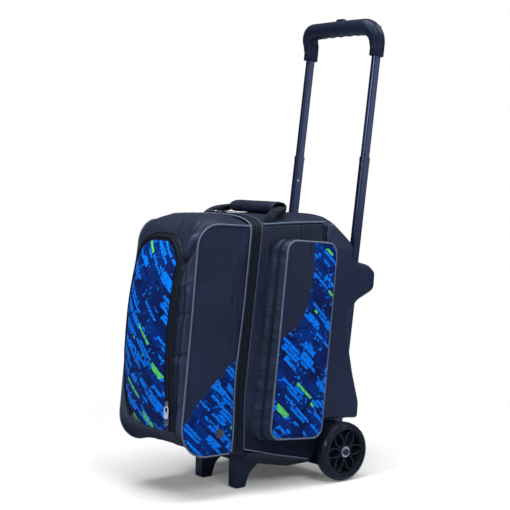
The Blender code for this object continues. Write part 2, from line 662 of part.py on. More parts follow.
def door(bag):
    """Shoe compartment that folds down on the bottom of the main zip."""
    hinge = pivot("door_hinge", bag, (0.0, ZIP_LOW[0], ZIP_LOW[1] + 0.001))
    low_rear = (ZIP_LOW[0] - 0.001, ZIP_LOW[1] - 0.002)
    high_rear = (ZIP_HIGH[0] - 0.001, ZIP_HIGH[1])
    low_front = (*DOOR_FRONT_LOW, DOOR_LOW_RADIUS)
    high_front = (*DOOR_FRONT_HIGH, DOOR_HIGH_RADIUS)
    line = rounded([low_rear, low_front, high_front, high_rear], 5)
    inner = BODY_HALF - WALL - GAP
    for side in (1, -1):
        panel = prism(line, *span(side, BODY_HALF - WALL, BODY_HALF))
        piece(mirrored("door_side", side), panel, FABRIC, hinge)
    low_arc, high_arc = line[1:6], line[7:13]
    top = [p for p in high_arc] + [between(high_arc[-1], high_rear, 0.5), Vector(high_rear)]
    rises = [CROWN * math.sin(math.pi / 2.0 * min(1.0, index / 5.0)) for index in range(len(top))]
    piece("door_top", crowned_sheet(top, inner, rises, WALL), FABRIC, hinge)
    seam = 0.003
    up = (high_arc[0] - low_arc[-1]).normalized()
    out = Vector((-up.y, up.x))
    start = (low_arc[-1] - Vector(DOOR_FRONT_LOW)).length + seam
    end = (high_arc[0] - Vector(DOOR_FRONT_LOW)).length - seam
    bottom = [Vector(low_rear), between(low_rear, low_arc[0], 0.5)] + low_arc
    swell = [0.0, 0.0] + [pouch_rise(start) * step / 4.0 for step in range(5)]
    piece("door_bottom", crowned_sheet(bottom, inner, swell, WALL), FABRIC, hinge)
    rows = [start] + [along for along, _ in POUCH if start + 0.004 < along < end - 0.004] + [end]
    swell = [pouch_rise(along) for along in rows]
    front = crowned_sheet([door_line(along) for along in rows], inner, swell, WALL, 10)
    front = piece("door_front", front, FABRIC, hinge)
    low_cut, high_cut = door_line(FLAP_LOW + 0.024), door_line(FLAP_HIGH - 0.020)
    hole = prism([low_cut + out * 0.06, high_cut + out * 0.06, high_cut - out * 0.02, low_cut - out * 0.02],
                 -FLAP_HALF + 0.014, FLAP_HALF - 0.014)
    combine(front, hole, "DIFFERENCE")
    rear = [between(low_rear, high_rear, share) - Vector((0.014, 0.0)) for share in (0.018, 0.975)]
    ahead = [spot - Vector((0.003, 0.0)) for spot in rear[::-1]]
    piece("door_liner", prism(rear + ahead, -inner + GAP, inner - GAP), FABRIC, hinge)
    badge = soften(rod(BODY_HALF + GAP, BODY_HALF + 0.0026, *DOOR_BADGE, BADGE_RADIUS, 20), 0.001,
                   lambda a, b: min(a.x, b.x) > BODY_HALF + 0.002, 2)
    piece("side_badge", badge, STEEL, hinge)
    flap(hinge)
    shoe_zip(hinge, out)


def flap(hinge):
    """Front panel of the shoe compartment, laid over the pouch and hinged along its lower edge."""
    lift = 0.0022
    foot = door_line(FLAP_LOW, pouch_rise(FLAP_LOW) + lift)
    carrier = pivot("shoe_flap_hinge", hinge, (0.0, *foot))
    columns = 8
    shape = bmesh.new()
    length = FLAP_HIGH - FLAP_LOW
    straight = length - FLAP_RADIUS
    reaches = [along - FLAP_LOW for along, _ in POUCH if FLAP_LOW <= along < FLAP_LOW + straight - 0.004]
    reaches += [straight + FLAP_RADIUS * math.sin(math.pi / 12.0 * step) for step in range(6)]
    layers = []
    for thick in (0.0, FLAP_THICK):
        grid = []
        for reach in reaches:
            drop = max(0.0, reach - straight)
            half = FLAP_HALF - FLAP_RADIUS + math.sqrt(FLAP_RADIUS ** 2 - drop ** 2)
            line = []
            for column in range(columns + 1):
                x = half * (2.0 * column / columns - 1.0)
                along = FLAP_LOW + reach
                spot = door_line(along, pouch_out(x, along) + lift + thick)
                line.append(shape.verts.new((x, spot.x, spot.y)))
            grid.append(line)
        layers.append(grid)
    inner, face = layers
    rows = len(reaches) - 1
    for grid in layers:
        for i in range(rows):
            for j in range(columns):
                shape.faces.new((grid[i][j], grid[i + 1][j], grid[i + 1][j + 1], grid[i][j + 1]))
    for i in range(rows):
        for j in (0, columns):
            shape.faces.new((face[i][j], face[i + 1][j], inner[i + 1][j], inner[i][j]))
    for i in (0, rows):
        for j in range(columns):
            shape.faces.new((face[i][j], face[i][j + 1], inner[i][j + 1], inner[i][j]))
    piece("shoe_flap", shape, PRINT, carrier)


def shoe_zip(hinge, out):
    """Slider of the shoe zip on the right leg of its run, with a hanging pull."""
    x = FLAP_HALF + 0.0070
    up = Vector((-out.y, out.x)) * -1.0
    at = door_line(SHOE_SLIDER_AT, pouch_out(x - 0.0045, SHOE_SLIDER_AT) + 0.0012)
    carrier = pivot("shoe_slider_track", hinge, (0.0, *at))
    body = [at, at + up * 0.013, at + up * 0.013 + out * 0.0055, at + out * 0.0055]
    slider = soften(prism(body, x - 0.0045, x + 0.0045), 0.0015, lambda a, b: True, 1)
    piece("shoe_slider", slider, STEEL, carrier)
    pin = at + out * 0.0035 - up * 0.0012
    swing = pivot("shoe_pull_pin", carrier, (0.0, *pin))
    tip = pin - up * 0.046
    tab = [pin + out * 0.0008, tip + out * 0.0008, tip - out * 0.0008, pin - out * 0.0008]
    shape = soften(prism(tab, x - 0.0050, x + 0.0050), 0.003,
                   lambda a, b: a.x == b.x and max(a.z, b.z) < pin.y - 0.04, 2)
    piece("shoe_pull", shape, STEEL, swing)


def main_zip(bag):
    """Coil of the main zip up both sides and over the top, with two sliders that meet in the middle."""
    lift = GAP + 0.0002
    thick, half = 0.0022, 0.003
    along = (Vector(ZIP_HIGH) - Vector(ZIP_LOW)).normalized()
    stations = []
    for share in (0.01, 0.5, 0.965):
        spot = between(ZIP_LOW, ZIP_HIGH, share)
        stations.append((BODY_HALF + lift, spot.x, spot.y, 1.0, 0.0))
    corner = 0.005
    centre_x, centre_z = BODY_HALF + lift - corner, ZIP_HIGH[1] + 0.0045 + lift - corner
    for step in range(1, 4):
        turn = math.pi / 8.0 * step
        out, up = math.cos(turn), math.sin(turn)
        stations.append((centre_x + corner * out, ZIP_HIGH[0], centre_z + corner * up, out, up))
    for share in (0.88, 0.75, 0.6, 0.4, 0.0):
        x = share * (BODY_HALF - WALL - GAP)
        stations.append((x, ZIP_HIGH[0], top_height(x) + lift + 0.0006, 0.0, 1.0))
    stations += [(-x, y, z, -nx, nz) for x, y, z, nx, nz in stations[-2::-1]]
    coil = bmesh.new()
    rows = []
    for x, y, z, nx, nz in stations:
        tilt = abs(nx)
        side = Vector((0.0, along.y * tilt + (1.0 - tilt), -along.x * tilt)) * half
        base_point = Vector((x, y, z))
        raised = base_point + Vector((nx, 0.0, nz)).normalized() * thick
        corners = (base_point - side, base_point + side, raised + side, raised - side)
        rows.append([coil.verts.new(corner) for corner in corners])
    for row, following in zip(rows, rows[1:]):
        for i in range(4):
            j = (i + 1) % 4
            coil.faces.new((row[i], row[j], following[j], following[i]))
    coil.faces.new(rows[0])
    coil.faces.new(rows[-1])
    piece("main_zip_coil", coil, PLASTIC, bag)
    top = ZIP_HIGH[1] + CROWN + lift + 0.0006 + thick + GAP
    for side in (1, -1):
        track = pivot(mirrored("main_slider_track", side), bag, (0.0, ZIP_HIGH[0], top))
        body = block(span(side, 0.003, 0.015), (ZIP_HIGH[0] - 0.0045, ZIP_HIGH[0] + 0.0050),
                     (top, top + 0.005))
        piece(mirrored("main_slider", side), soften(body, 0.0012, lambda a, b: True, 1), STEEL, track)
        swing = pivot(mirrored("main_pull_pin", side), track, (side * 0.016, ZIP_HIGH[0], top + 0.004))
        tab = block(span(side, 0.0156, 0.052), (ZIP_HIGH[0] - 0.0045, ZIP_HIGH[0] + 0.0045),
                    (top + 0.0030, top + 0.0046))
        tab = soften(tab, 0.003, lambda a, b: min(abs(a.x), abs(b.x)) > 0.05 and a.y == b.y, 2)
        piece(mirrored("main_pull", side), tab, STEEL, swing)


def side_pockets(bag):
    """Accessory pocket on each side: a gusset with a zipped lid hinged along its rear edge."""
    line = rounded([(*corner, POCKET_RADIUS) for corner in POCKET_CORNERS])
    foot = rounded([(*corner, POCKET_RADIUS) for corner in POCKET_FOOT])
    low = BODY_HALF + 2.0 * GAP
    for side in (1, -1):
        gusset = bmesh.new()
        high = low + POCKET_DEPTH
        levels = ((foot, low), (line, high), (inset(line, 0.004), high), (inset(foot, 0.004), low))
        rings = [[gusset.verts.new((side * x, p.x, p.y)) for p in points] for points, x in levels]
        for ring, following in zip(rings, rings[1:] + rings[:1]):
            for i in range(len(line)):
                j = (i + 1) % len(line)
                gusset.faces.new((ring[i], ring[j], following[j], following[i]))
        piece(mirrored("pocket_gusset", side), gusset, FABRIC, bag)
        hinge = between(POCKET_CORNERS[2], POCKET_CORNERS[3], 0.5)
        carrier = pivot(mirrored("pocket_lid_hinge", side), bag, (side * (low + POCKET_DEPTH), *hinge))
        inner, outer = low + POCKET_DEPTH + GAP, low + POCKET_DEPTH + POCKET_LID
        lid = soften(prism(line, *span(side, inner, outer)), 0.003,
                     lambda a, b: min(abs(a.x), abs(b.x)) > outer - 1e-6, 2)
        piece(mirrored("pocket_lid", side), lid, PRINT, carrier)


def grab_handle(bag):
    """Padded carry handle: webbing sewn at both top edges and a wrap round its middle."""
    half = 0.014
    sewn = 0.062
    anchor = (sewn - half, top_height(0.107) + 0.0010)
    carrier = pivot("grab_handle_anchor", bag, (0.0, *anchor))
    route = [(0.107, sewn, top_height(0.107) + 0.0012), (0.1025, sewn + 0.004, top_height(0.1025) + 0.0040),
             (0.097, 0.092, 0.5815), (0.085, 0.112, 0.5880), (0.0725, 0.118, 0.5894)]
    route += [(-x, y, z) for x, y, z in route[::-1]]
    webbing = bmesh.new()
    rows = []
    for x, y, z in route:
        corners = ((x, y - half, z), (x, y + half, z), (x, y + half, z + 0.0022), (x, y - half, z + 0.0022))
        rows.append([webbing.verts.new(corner) for corner in corners])
    for row, following in zip(rows, rows[1:]):
        for i in range(4):
            j = (i + 1) % 4
            webbing.faces.new((row[i], row[j], following[j], following[i]))
    webbing.faces.new(rows[0])
    webbing.faces.new(rows[-1])
    piece("grab_webbing", webbing, FABRIC, carrier)
    turns = [i * math.pi / 8.0 for i in range(16)]
    centre = Vector((0.118, 0.5905))
    sleeve = [centre + Vector((0.0210 * math.cos(turn), 0.0130 * math.sin(turn))) for turn in turns]
    slot = [centre + Vector((0.0150 * math.cos(turn), 0.0035 * math.sin(turn))) for turn in turns]
    wrap = frame_prism(sleeve, slot, -0.070, 0.070)
    piece("grab_wrap", wrap, FABRIC, carrier)


def main():
    """Build the bag."""
    for old in list(bpy.data.objects):
        bpy.data.objects.remove(old, do_unlink=True)
    bag = pivot("bag_datum", None, (0.0, DATUM_Y, 0.0))
    tower(bag)
    base(bag)
    for side in (1, -1):
        wheel(bag, side)
    guards(bag)
    handle(bag)
    door(bag)
    main_zip(bag)
    side_pockets(bag)
    grab_handle(bag)


main()
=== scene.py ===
"""Two-ball roller bag: its looks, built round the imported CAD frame.

Lengths are metres. Side outlines are drawn as (depth, height), with depth measured backwards from DATUM.
"""
from __future__ import annotations

import json
import logging
from dataclasses import dataclass, field
from enum import Enum
from itertools import accumulate
from math import copysign, cos, exp, hypot, pi, radians, sin, sqrt, tan, tau
from typing import Any, Callable, Sequence

import bmesh
import bpy
from mathutils import Matrix, Vector, noise
from mathutils.bvhtree import BVHTree
from mathutils.kdtree import KDTree

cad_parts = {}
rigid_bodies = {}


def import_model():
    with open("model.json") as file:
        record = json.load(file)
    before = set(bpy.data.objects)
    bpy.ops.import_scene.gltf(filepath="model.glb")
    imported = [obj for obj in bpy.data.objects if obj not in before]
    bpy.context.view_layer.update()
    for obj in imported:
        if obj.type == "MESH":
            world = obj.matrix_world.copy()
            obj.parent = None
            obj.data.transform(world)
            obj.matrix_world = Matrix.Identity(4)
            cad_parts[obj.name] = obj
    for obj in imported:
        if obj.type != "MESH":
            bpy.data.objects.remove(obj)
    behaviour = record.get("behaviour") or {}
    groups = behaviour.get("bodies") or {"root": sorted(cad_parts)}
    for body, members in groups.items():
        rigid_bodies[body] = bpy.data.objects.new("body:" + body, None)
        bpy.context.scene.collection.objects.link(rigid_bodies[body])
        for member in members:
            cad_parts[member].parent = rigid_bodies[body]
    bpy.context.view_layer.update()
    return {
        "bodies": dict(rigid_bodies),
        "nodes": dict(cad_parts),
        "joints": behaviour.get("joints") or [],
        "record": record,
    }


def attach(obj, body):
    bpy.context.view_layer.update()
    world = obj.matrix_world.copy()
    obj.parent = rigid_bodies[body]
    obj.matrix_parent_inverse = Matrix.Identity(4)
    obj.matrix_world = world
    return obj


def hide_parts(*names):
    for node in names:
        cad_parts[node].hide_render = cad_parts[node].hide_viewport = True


LOG = logging.getLogger("roller_bag")
Point = tuple[float, float]
Triple = tuple[float, float, float]
Corners = tuple[tuple[float, ...], ...]
Line = Sequence[Vector]
Place = Callable[[float, float, float], Vector]
Swell = Callable[[float, Point], float]
Options = dict[Any, Any] | None
Piece = bpy.types.Object
Socket = bpy.types.NodeSocket
Material = bpy.types.Material

# Where depths start along the frame's Y axis, and the wheels' axle as (depth, height).
DATUM = -0.09859
AXLE: Point = (0.228, 0.0635)
UP = Vector((0.0, 0.0, 1.0))
# Points inside the bag that its panels face away from.
CORE = Vector((0.0, 0.0, 0.3))
HEART = Vector((0.0, DATUM, 0.3))
# Tint of the shine on dark cloth and mouldings.
COOL = (0.55, 0.7, 1.0, 1.0)


class Slot(Enum):
    """Material slots of the record."""

    NAVY = "fabric_navy"
    PRINT = "fabric_print"
    PLASTIC = "plastic_charcoal"
    TUBE = "tube_black"
    TYRE = "tyre_black"
    RIM = "rim_dark_grey"
    STEEL = "steel_bright"
    FOAM = "foam_grey"


class Hand(Enum):
    """The two sides of the bag."""

    RIGHT = 1
    LEFT = -1

    def named(self, stem: str) -> str:
        """Return the name of this side's one of a pair."""
        return f"{stem}_{self.name.lower()}"

    @property
    def out(self) -> Vector:
        """Direction out of this side."""
        return Vector((self.value, 0.0, 0.0))


@dataclass(eq=False)
class Value:
    """A number socket of a shader graph, with arithmetic that adds Math nodes."""

    graph: Graph
    socket: Socket

    def _join(self, operation: str, first: Any, second: Any = None) -> Value:
        """Return the result of a Math node on one or two values."""
        values = {0: first} if second is None else {0: first, 1: second}
        return self.graph.value("ShaderNodeMath", {"operation": operation}, values)

    def __add__(self, other: Any) -> Value:
        """Return the sum."""
        return self._join("ADD", self, other)

    __radd__ = __add__

    def __sub__(self, other: Any) -> Value:
        """Return the difference."""
        return self._join("SUBTRACT", self, other)

    def __rsub__(self, other: Any) -> Value:
        """Return the difference from a number."""
        return self._join("SUBTRACT", other, self)

    def __mul__(self, other: Any) -> Value:
        """Return the product."""
        return self._join("MULTIPLY", self, other)

    __rmul__ = __mul__

    def __pow__(self, other: Any) -> Value:
        """Return the power."""
        return self._join("POWER", self, other)

    def above(self, limit: float) -> Value:
        """Return 1 where the value is over a limit, and 0 elsewhere."""
        return self._join("GREATER_THAN", self, limit)

    def held(self) -> Value:
        """Return the value held between 0 and 1."""
        return self.graph.value("ShaderNodeMath", {"operation": "ADD", "use_clamp": True}, {0: self, 1: 0.0})

    def wave(self) -> Value:
        """Return the sine."""
        return self._join("SINE", self)

    def size(self) -> Value:
        """Return the absolute value."""
        return self._join("ABSOLUTE", self)

    def whole(self) -> Value:
        """Return the whole number at or below the value."""
        return self._join("FLOOR", self)


class Graph:
    """A material and the nodes that feed its Principled shader."""

    def __init__(self, name: str) -> None:
        """Start a material.

        Args:
            name: Name of the finish.
        """
        self.material = bpy.data.materials.new(name)
        self.material.use_nodes = True
        self.nodes = self.material.node_tree.nodes
        self.links = self.material.node_tree.links
        self.shader = self.nodes["Principled BSDF"]

    def add(self, kind: str, settings: Options = None, values: Options = None) -> bpy.types.Node:
        """Add a node.

        Args:
            kind: Node type.
            settings: Settings made before the sockets; "stops" gives a ramp's positions and colours.
            values: Values or links of the input sockets, by name or number.

        Returns:
            The node.
        """
        node = self.nodes.new(kind)
        for key, setting in (settings or {}).items():
            if key == "stops":
                ramp = node.color_ramp
                while len(ramp.elements) < len(setting):
                    ramp.elements.new(0.5)
                for element, (position, colour) in zip(ramp.elements, setting):
                    element.position = position
                    element.color = (*colour, 1.0)
            elif key == "interpolation":
                node.color_ramp.interpolation = setting
            else:
                setattr(node, key, setting)
        for key, given in (values or {}).items():
            self.feed(node.inputs[key], given)
        return node

    def feed(self, socket: Socket, given: Any) -> None:
        """Set a socket to a constant or link it.

        Args:
            socket: Input socket.
            given: Value, output socket, colour or number.
        """
        if isinstance(given, (Value, Socket)):
            self.links.new(given.socket if isinstance(given, Value) else given, socket)
        elif isinstance(given, tuple) and len(given) == 3 and socket.type == "RGBA":
            socket.default_value = (*given, 1.0)
        else:
            socket.default_value = given

    def value(self, kind: str, settings: Options = None, values: Options = None, output: Any = 0) -> Value:
        """Add a node and return one of its number outputs."""
        return Value(self, self.add(kind, settings, values).outputs[output])

    def place(self, uv: bool) -> Socket:
        """Return the piece's own UV map in metres, or its Object coordinates."""
        return self.add("ShaderNodeTexCoord").outputs["UV" if uv else "Object"]

    def blend(self, share: Any, first: Any, second: Any) -> Socket:
        """Return a mix of two colours, with a share of the second one."""
        settings = {"data_type": "RGBA", "clamp_factor": True}
        return self.add("ShaderNodeMix", settings, {0: share, 6: first, 7: second}).outputs[2]

    def clouds(self, where: Socket, scale: float, detail: float) -> Value:
        """Return a noise value at a scale in cells per metre."""
        return self.value("ShaderNodeTexNoise", None, {"Vector": where, "Scale": scale, "Detail": detail})

    def axes(self, where: Socket) -> tuple[Value, Value, Value]:
        """Return the three numbers of a vector."""
        node = self.add("ShaderNodeSeparateXYZ", None, {0: where})
        return tuple(Value(self, output) for output in node.outputs)

    def weave(self, uv: Socket, pitch: float) -> Value:
        """Return a plain weave between -1 and 1, which repeats at a pitch in metres."""
        across, along = ((axis * (tau / pitch)).wave() for axis in self.axes(uv)[:2])
        return across * along

    def bump(self, height: Value, distance: float, strength: float, under: Any = None) -> Socket:
        """Return the normal of a bump with a depth in metres, over the normal of another one."""
        values = {"Height": height, "Distance": distance, "Strength": strength}
        return self.add("ShaderNodeBump", None, values | ({"Normal": under} if under else {})).outputs[0]

    def dress(self, **sockets: Any) -> Material:
        """Feed the shader's sockets and return the material.

        Args:
            **sockets: Values by socket name, with spaces written as underscores.

        Returns:
            The finished material.
        """
        for name, given in sockets.items():
            self.feed(self.shader.inputs[name.replace("_", " ")], given)
        return self.material


@dataclass(frozen=True)
class WovenCloth:
    """Coated polyester with a plain weave, soft creases and a slight sheen."""

    name: str
    colour: Triple
    worn: Triple
    roughness: float = 0.62
    shine: float = 0.25
    crease: float = 0.002
    wrinkle: float = 0.0015
    pitch: float = 0.0013
    # Height below which painted shade darkens the cloth; -1 paints none.
    underside: float = -1.0

    def material(self) -> Material:
        """Mix the finish, read from a UV map in metres.

        Returns:
            The material.
        """
        graph = Graph(self.name)
        uv = graph.place(True)
        weave = graph.weave(uv, self.pitch)
        tone = graph.clouds(uv, 9.0, 3.0)
        fuzz = graph.clouds(uv, 420.0, 2.0)
        folds = graph.clouds(uv, 42.0, 4.0)
        # Painted fold shade and highlight: the fold attribute darkens the colour in fold valleys and lightens
        # it on the ridges, where the cloth also rubs.
        rubbed = graph.value("ShaderNodeAttribute", {"attribute_name": "fold"}, None, "Fac")
        share = tone * 0.9 + fuzz * 0.5 + weave * 0.1 - 0.38 + rubbed * 0.75
        drawn = graph.add("ShaderNodeVectorMath", {"operation": "MULTIPLY"}, {0: uv, 1: (1.0, 0.3, 1.0)})
        waves = graph.value("ShaderNodeTexNoise", None, {
            "Vector": drawn.outputs[0], "Scale": 17.0, "Detail": 2.5, "Roughness": 0.45, "Distortion": 0.7})
        pulled = graph.bump((1.0 - (waves * 2.0 - 1.0).size() * 1.9) ** 2.0, self.wrinkle, 0.8)
        soft = graph.bump(folds, self.crease, 0.5, pulled)
        normal = graph.bump(weave * 0.5 + 0.5, 0.00025, 0.35, soft)
        _, _, height = graph.axes(graph.place(False))
        # Painted shade near the floor: the colour darkens towards near black below that height.
        low = ((self.underside - height) * 34.0).held()
        colour = graph.blend(low * 0.7, graph.blend(share, self.colour, self.worn), (0.0012, 0.0016, 0.0042))
        roughness = tone * 0.22 + low * 0.42 + (self.roughness - 0.11)
        return graph.dress(Base_Color=colour, Roughness=roughness, Normal=normal,
                           Specular_Tint=(0.5, 0.66, 1.0, 1.0), Specular_IOR_Level=self.shine)


@dataclass(frozen=True)
class DashPrint:
    """Printed polyester: worn slanted dashes and blocks in blues, with a few green ones, on navy."""

    name: str
    angle: float = -0.8
    navy: Triple = (0.003, 0.0055, 0.034)
    deep: Triple = (0.002, 0.024, 0.17)
    bright: Triple = (0.001, 0.165, 0.74)
    green: Triple = (0.095, 0.56, 0.095)
    pitch: float = 0.0013

    def dashes(self, graph: Graph, where: Socket, size: Point) -> tuple[Value, Value, Value]:
        """Cut the cloth into slanted rows of dashes.

        Args:
            graph: Graph of the finish.
            where: Place on the cloth.
            size: Rows per metre, and dashes per metre of a row.

        Returns:
            Two random numbers of the dash, and 1 on the dash or 0 in the gap round it.
        """
        slanted = graph.add("ShaderNodeVectorRotate", {"rotation_type": "Z_AXIS"},
                            {"Vector": where, "Angle": self.angle})
        across, along, _ = graph.axes(slanted.outputs[0])
        rows = across * size[0]
        row = rows.whole()
        shift = graph.value("ShaderNodeTexWhiteNoise", {"noise_dimensions": "1D"}, {"W": row})
        steps = along * size[1] + shift * 7.0
        cell = graph.add("ShaderNodeCombineXYZ", None, {0: row, 1: steps.whole(), 2: 0.0}).outputs[0]
        draw = graph.add("ShaderNodeTexWhiteNoise", {"noise_dimensions": "2D"}, {"Vector": cell})
        pick, gate, _ = graph.axes(draw.outputs["Color"])
        across_it = (0.36 - (rows - row - 0.5).size()).above(0.0)
        along_it = (0.45 - (steps - steps.whole() - 0.5).size()).above(0.0)
        return pick, gate, across_it * along_it

    def material(self) -> Material:
        """Mix the finish, read from a UV map in metres.

        Returns:
            The material.
        """
        graph = Graph(self.name)
        uv = graph.place(True)
        weave = graph.weave(uv, self.pitch)
        ragged = graph.add("ShaderNodeTexNoise", None, {"Vector": uv, "Scale": 300.0, "Detail": 2.0})
        pulled = graph.add("ShaderNodeVectorMath", {"operation": "MULTIPLY"},
                           {0: ragged.outputs["Color"], 1: (0.0042, 0.0042, 0.0)})
        shifted = graph.add("ShaderNodeVectorMath", {"operation": "ADD"}, {0: uv, 1: pulled.outputs[0]})
        moved = shifted.outputs[0]
        patches = graph.clouds(uv, 15.0, 1.0)
        drifts = graph.clouds(moved, 24.0, 2.0)
        flecks = graph.clouds(moved, 260.0, 2.0)
        worn = 1.0 - flecks.above(0.58)
        pick, gate, thin = self.dashes(graph, moved, (128.0, 17.0))
        wide_pick, wide_gate, wide = self.dashes(graph, moved, (58.0, 23.0))
        _, broad_gate, broad = self.dashes(graph, moved, (31.0, 14.0))
        inks = {"interpolation": "CONSTANT",
                "stops": ((0.0, self.deep), (0.22, self.bright), (0.92, self.green))}
        hue, wide_hue = (graph.add("ShaderNodeValToRGB", inks, {0: draw}).outputs[0]
                         for draw in (pick, wide_pick))
        ground = graph.blend(graph.clouds(uv, 22.0, 2.0) * 1.5 - 0.4, self.navy, self.deep)
        washed = graph.blend(broad_gate.above(0.62) * broad * worn * 0.75, ground, self.deep)
        spatter = graph.clouds(moved, 130.0, 2.0).above(0.62) * drifts.above(0.5)
        speckled = graph.blend(spatter * 0.95, washed, self.bright)
        bold = graph.blend((wide_gate - patches * 0.55).above(0.48) * wide * worn, speckled, wide_hue)
        colour = graph.blend((gate * 0.55 + patches).above(0.83) * thin * worn, bold, hue)
        soft = graph.bump(graph.clouds(uv, 34.0, 3.0), 0.0014, 0.4)
        normal = graph.bump(weave * 0.5 + 0.5, 0.00025, 0.3, soft)
        return graph.dress(Base_Color=colour, Roughness=flecks * 0.15 + 0.52, Normal=normal,
                           Specular_IOR_Level=0.05, Specular_Tint=COOL)


@dataclass(frozen=True)
class MouldedPlastic:
    """Moulded polymer with a fine leathery grain and rubbed high spots."""

    name: str
    colour: Triple
    rubbed: Triple
    roughness: float = 0.42
    grain: float = 900.0
    depth: float = 0.00022
    shine: float = 0.26

    def material(self) -> Material:
        """Mix the finish, read from Object coordinates.

        Returns:
            The material.
        """
        graph = Graph(self.name)
        where = graph.place(False)
        grain = graph.clouds(where, self.grain, 2.0)
        tone = graph.clouds(where, 14.0, 3.0)
        scuff = graph.clouds(where, 130.0, 4.0)
        colour = graph.blend(tone * 0.8 + scuff * 0.5 - 0.3, self.colour, self.rubbed)
        return graph.dress(Base_Color=colour, Roughness=tone * 0.16 + scuff * 0.1 + (self.roughness - 0.13),
                           Normal=graph.bump(grain, self.depth, 0.35), Specular_IOR_Level=self.shine,
                           Specular_Tint=COOL)


@dataclass(frozen=True)
class GlossEnamel:
    """Blue-black anodised tube: satin gloss with faint dust."""

    name: str
    colour: Triple = (0.026, 0.035, 0.08)
    dusty: Triple = (0.034, 0.046, 0.098)

    def material(self) -> Material:
        """Mix the finish, read from Object coordinates.

        Returns:
            The material.
        """
        graph = Graph(self.name)
        where = graph.place(False)
        dust = graph.clouds(where, 26.0, 4.0)
        grain = graph.clouds(where, 1500.0, 2.0)
        colour = graph.blend(dust * 1.2 - 0.3, self.colour, self.dusty)
        return graph.dress(Base_Color=colour, Metallic=0.9, Roughness=dust * 0.1 + 0.21,
                           Normal=graph.bump(grain, 0.00002, 0.2), Coat_Weight=0.06, Coat_Roughness=0.15)


@dataclass(frozen=True)
class CastUrethane:
    """Tyre rubber: glossy black, with faint rings and rolled-in dust on the tread."""

    name: str
    centre: Point
    tread: float
    colour: Triple = (0.0036, 0.0046, 0.0092)

    def material(self) -> Material:
        """Mix the finish, with its rings about the axle.

        Returns:
            The material.
        """
        graph = Graph(self.name)
        where = graph.place(False)
        _, depth, height = graph.axes(where)
        depth, height = depth - self.centre[0], height - self.centre[1]
        radius = (depth * depth + height * height) ** 0.5
        rings = (radius * 4200.0).wave()
        dust = graph.clouds(where, 95.0, 4.0)
        rolled = radius.above(self.tread) * dust
        colour = graph.blend(rolled * 0.75, self.colour, (0.01, 0.0115, 0.017))
        return graph.dress(Base_Color=colour, Roughness=dust * 0.12 + rolled * 0.16 + 0.2,
                           Normal=graph.bump(rings * 0.5 + 0.5, 0.00004, 0.2), Specular_IOR_Level=0.29,
                           Specular_Tint=(0.56, 0.7, 1.0, 1.0))


@dataclass(frozen=True)
class PlatedSteel:
    """Zinc-plated fittings with fine tumbling marks."""

    name: str
    colour: Triple = (0.5, 0.53, 0.6)
    dull: Triple = (0.28, 0.3, 0.36)
    roughness: float = 0.36

    def material(self) -> Material:
        """Mix the finish, read from Object coordinates.

        Returns:
            The material.
        """
        graph = Graph(self.name)
        where = graph.place(False)
        marks = graph.clouds(where, 1400.0, 3.0)
        bloom = graph.clouds(where, 210.0, 3.0)
        colour = graph.blend(bloom * 1.3 - 0.35, self.colour, self.dull)
        roughness = marks * 0.16 + bloom * 0.12 + (self.roughness - 0.14)
        return graph.dress(Base_Color=colour, Metallic=1.0, Roughness=roughness,
                           Normal=graph.bump(marks, 0.00005, 0.25))


@dataclass(frozen=True)
class NylonBand:
    """Ribbed nylon: webbing, zip tape and zip coil, with ribs across the band."""

    name: str
    colour: Triple
    lit: Triple
    rib: float = 0.0016
    depth: float = 0.0004
    roughness: float = 0.55

    def material(self) -> Material:
        """Mix the finish, read from a UV map in metres.

        Returns:
            The material.
        """
        graph = Graph(self.name)
        uv = graph.place(True)
        across, along, _ = graph.axes(uv)
        ribs = (along * (tau / self.rib)).wave() * 0.5 + 0.5
        threads = (across * (tau / 0.0011)).wave() * 0.5 + 0.5
        fuzz = graph.clouds(uv, 380.0, 2.0)
        colour = graph.blend(ribs * 0.35 + fuzz * 0.6 - 0.2, self.colour, self.lit)
        return graph.dress(Base_Color=colour, Roughness=fuzz * 0.2 + (self.roughness - 0.1),
                           Normal=graph.bump(ribs * 0.7 + threads * 0.3, self.depth, 0.4),
                           Specular_IOR_Level=0.2, Specular_Tint=COOL)


@dataclass(frozen=True)
class PipingCord:
    """Reflective piping: a satin grey sleeve with a spiral of fine beads."""

    name: str
    colour: Triple = (0.098, 0.128, 0.18)
    shaded: Triple = (0.056, 0.072, 0.108)

    def material(self) -> Material:
        """Mix the finish, read from a UV map in metres.

        Returns:
            The material.
        """
        graph = Graph(self.name)
        uv = graph.place(True)
        across, along, _ = graph.axes(uv)
        lay = (along * 3600.0 + across * 900.0).wave() * 0.5 + 0.5
        rub = graph.clouds(uv, 60.0, 3.0)
        colour = graph.blend(rub * 1.2 - 0.25 + lay * 0.1, self.colour, self.shaded)
        return graph.dress(Base_Color=colour, Roughness=rub * 0.2 + 0.28, Normal=graph.bump(lay, 0.00012, 0.3),
                           Specular_IOR_Level=0.3, Specular_Tint=(0.6, 0.75, 1.0, 1.0))


@dataclass(frozen=True)
class FacedFoam:
    """Fabric-faced foam with a brushed nap."""

    name: str
    colour: Triple = (0.05, 0.052, 0.058)

    def material(self) -> Material:
        """Mix the finish, read from Object coordinates.

        Returns:
            The material.
        """
        graph = Graph(self.name)
        where = graph.place(False)
        nap = graph.clouds(where, 800.0, 3.0)
        tone = graph.clouds(where, 22.0, 3.0)
        colour = graph.blend(tone * 0.9 + nap * 0.4 - 0.3, self.colour, (0.105, 0.107, 0.115))
        return graph.dress(Base_Color=colour, Roughness=nap * 0.15 + 0.78, Normal=graph.bump(nap, 0.0006, 0.5),
                           Sheen_Weight=0.3, Sheen_Roughness=0.5)


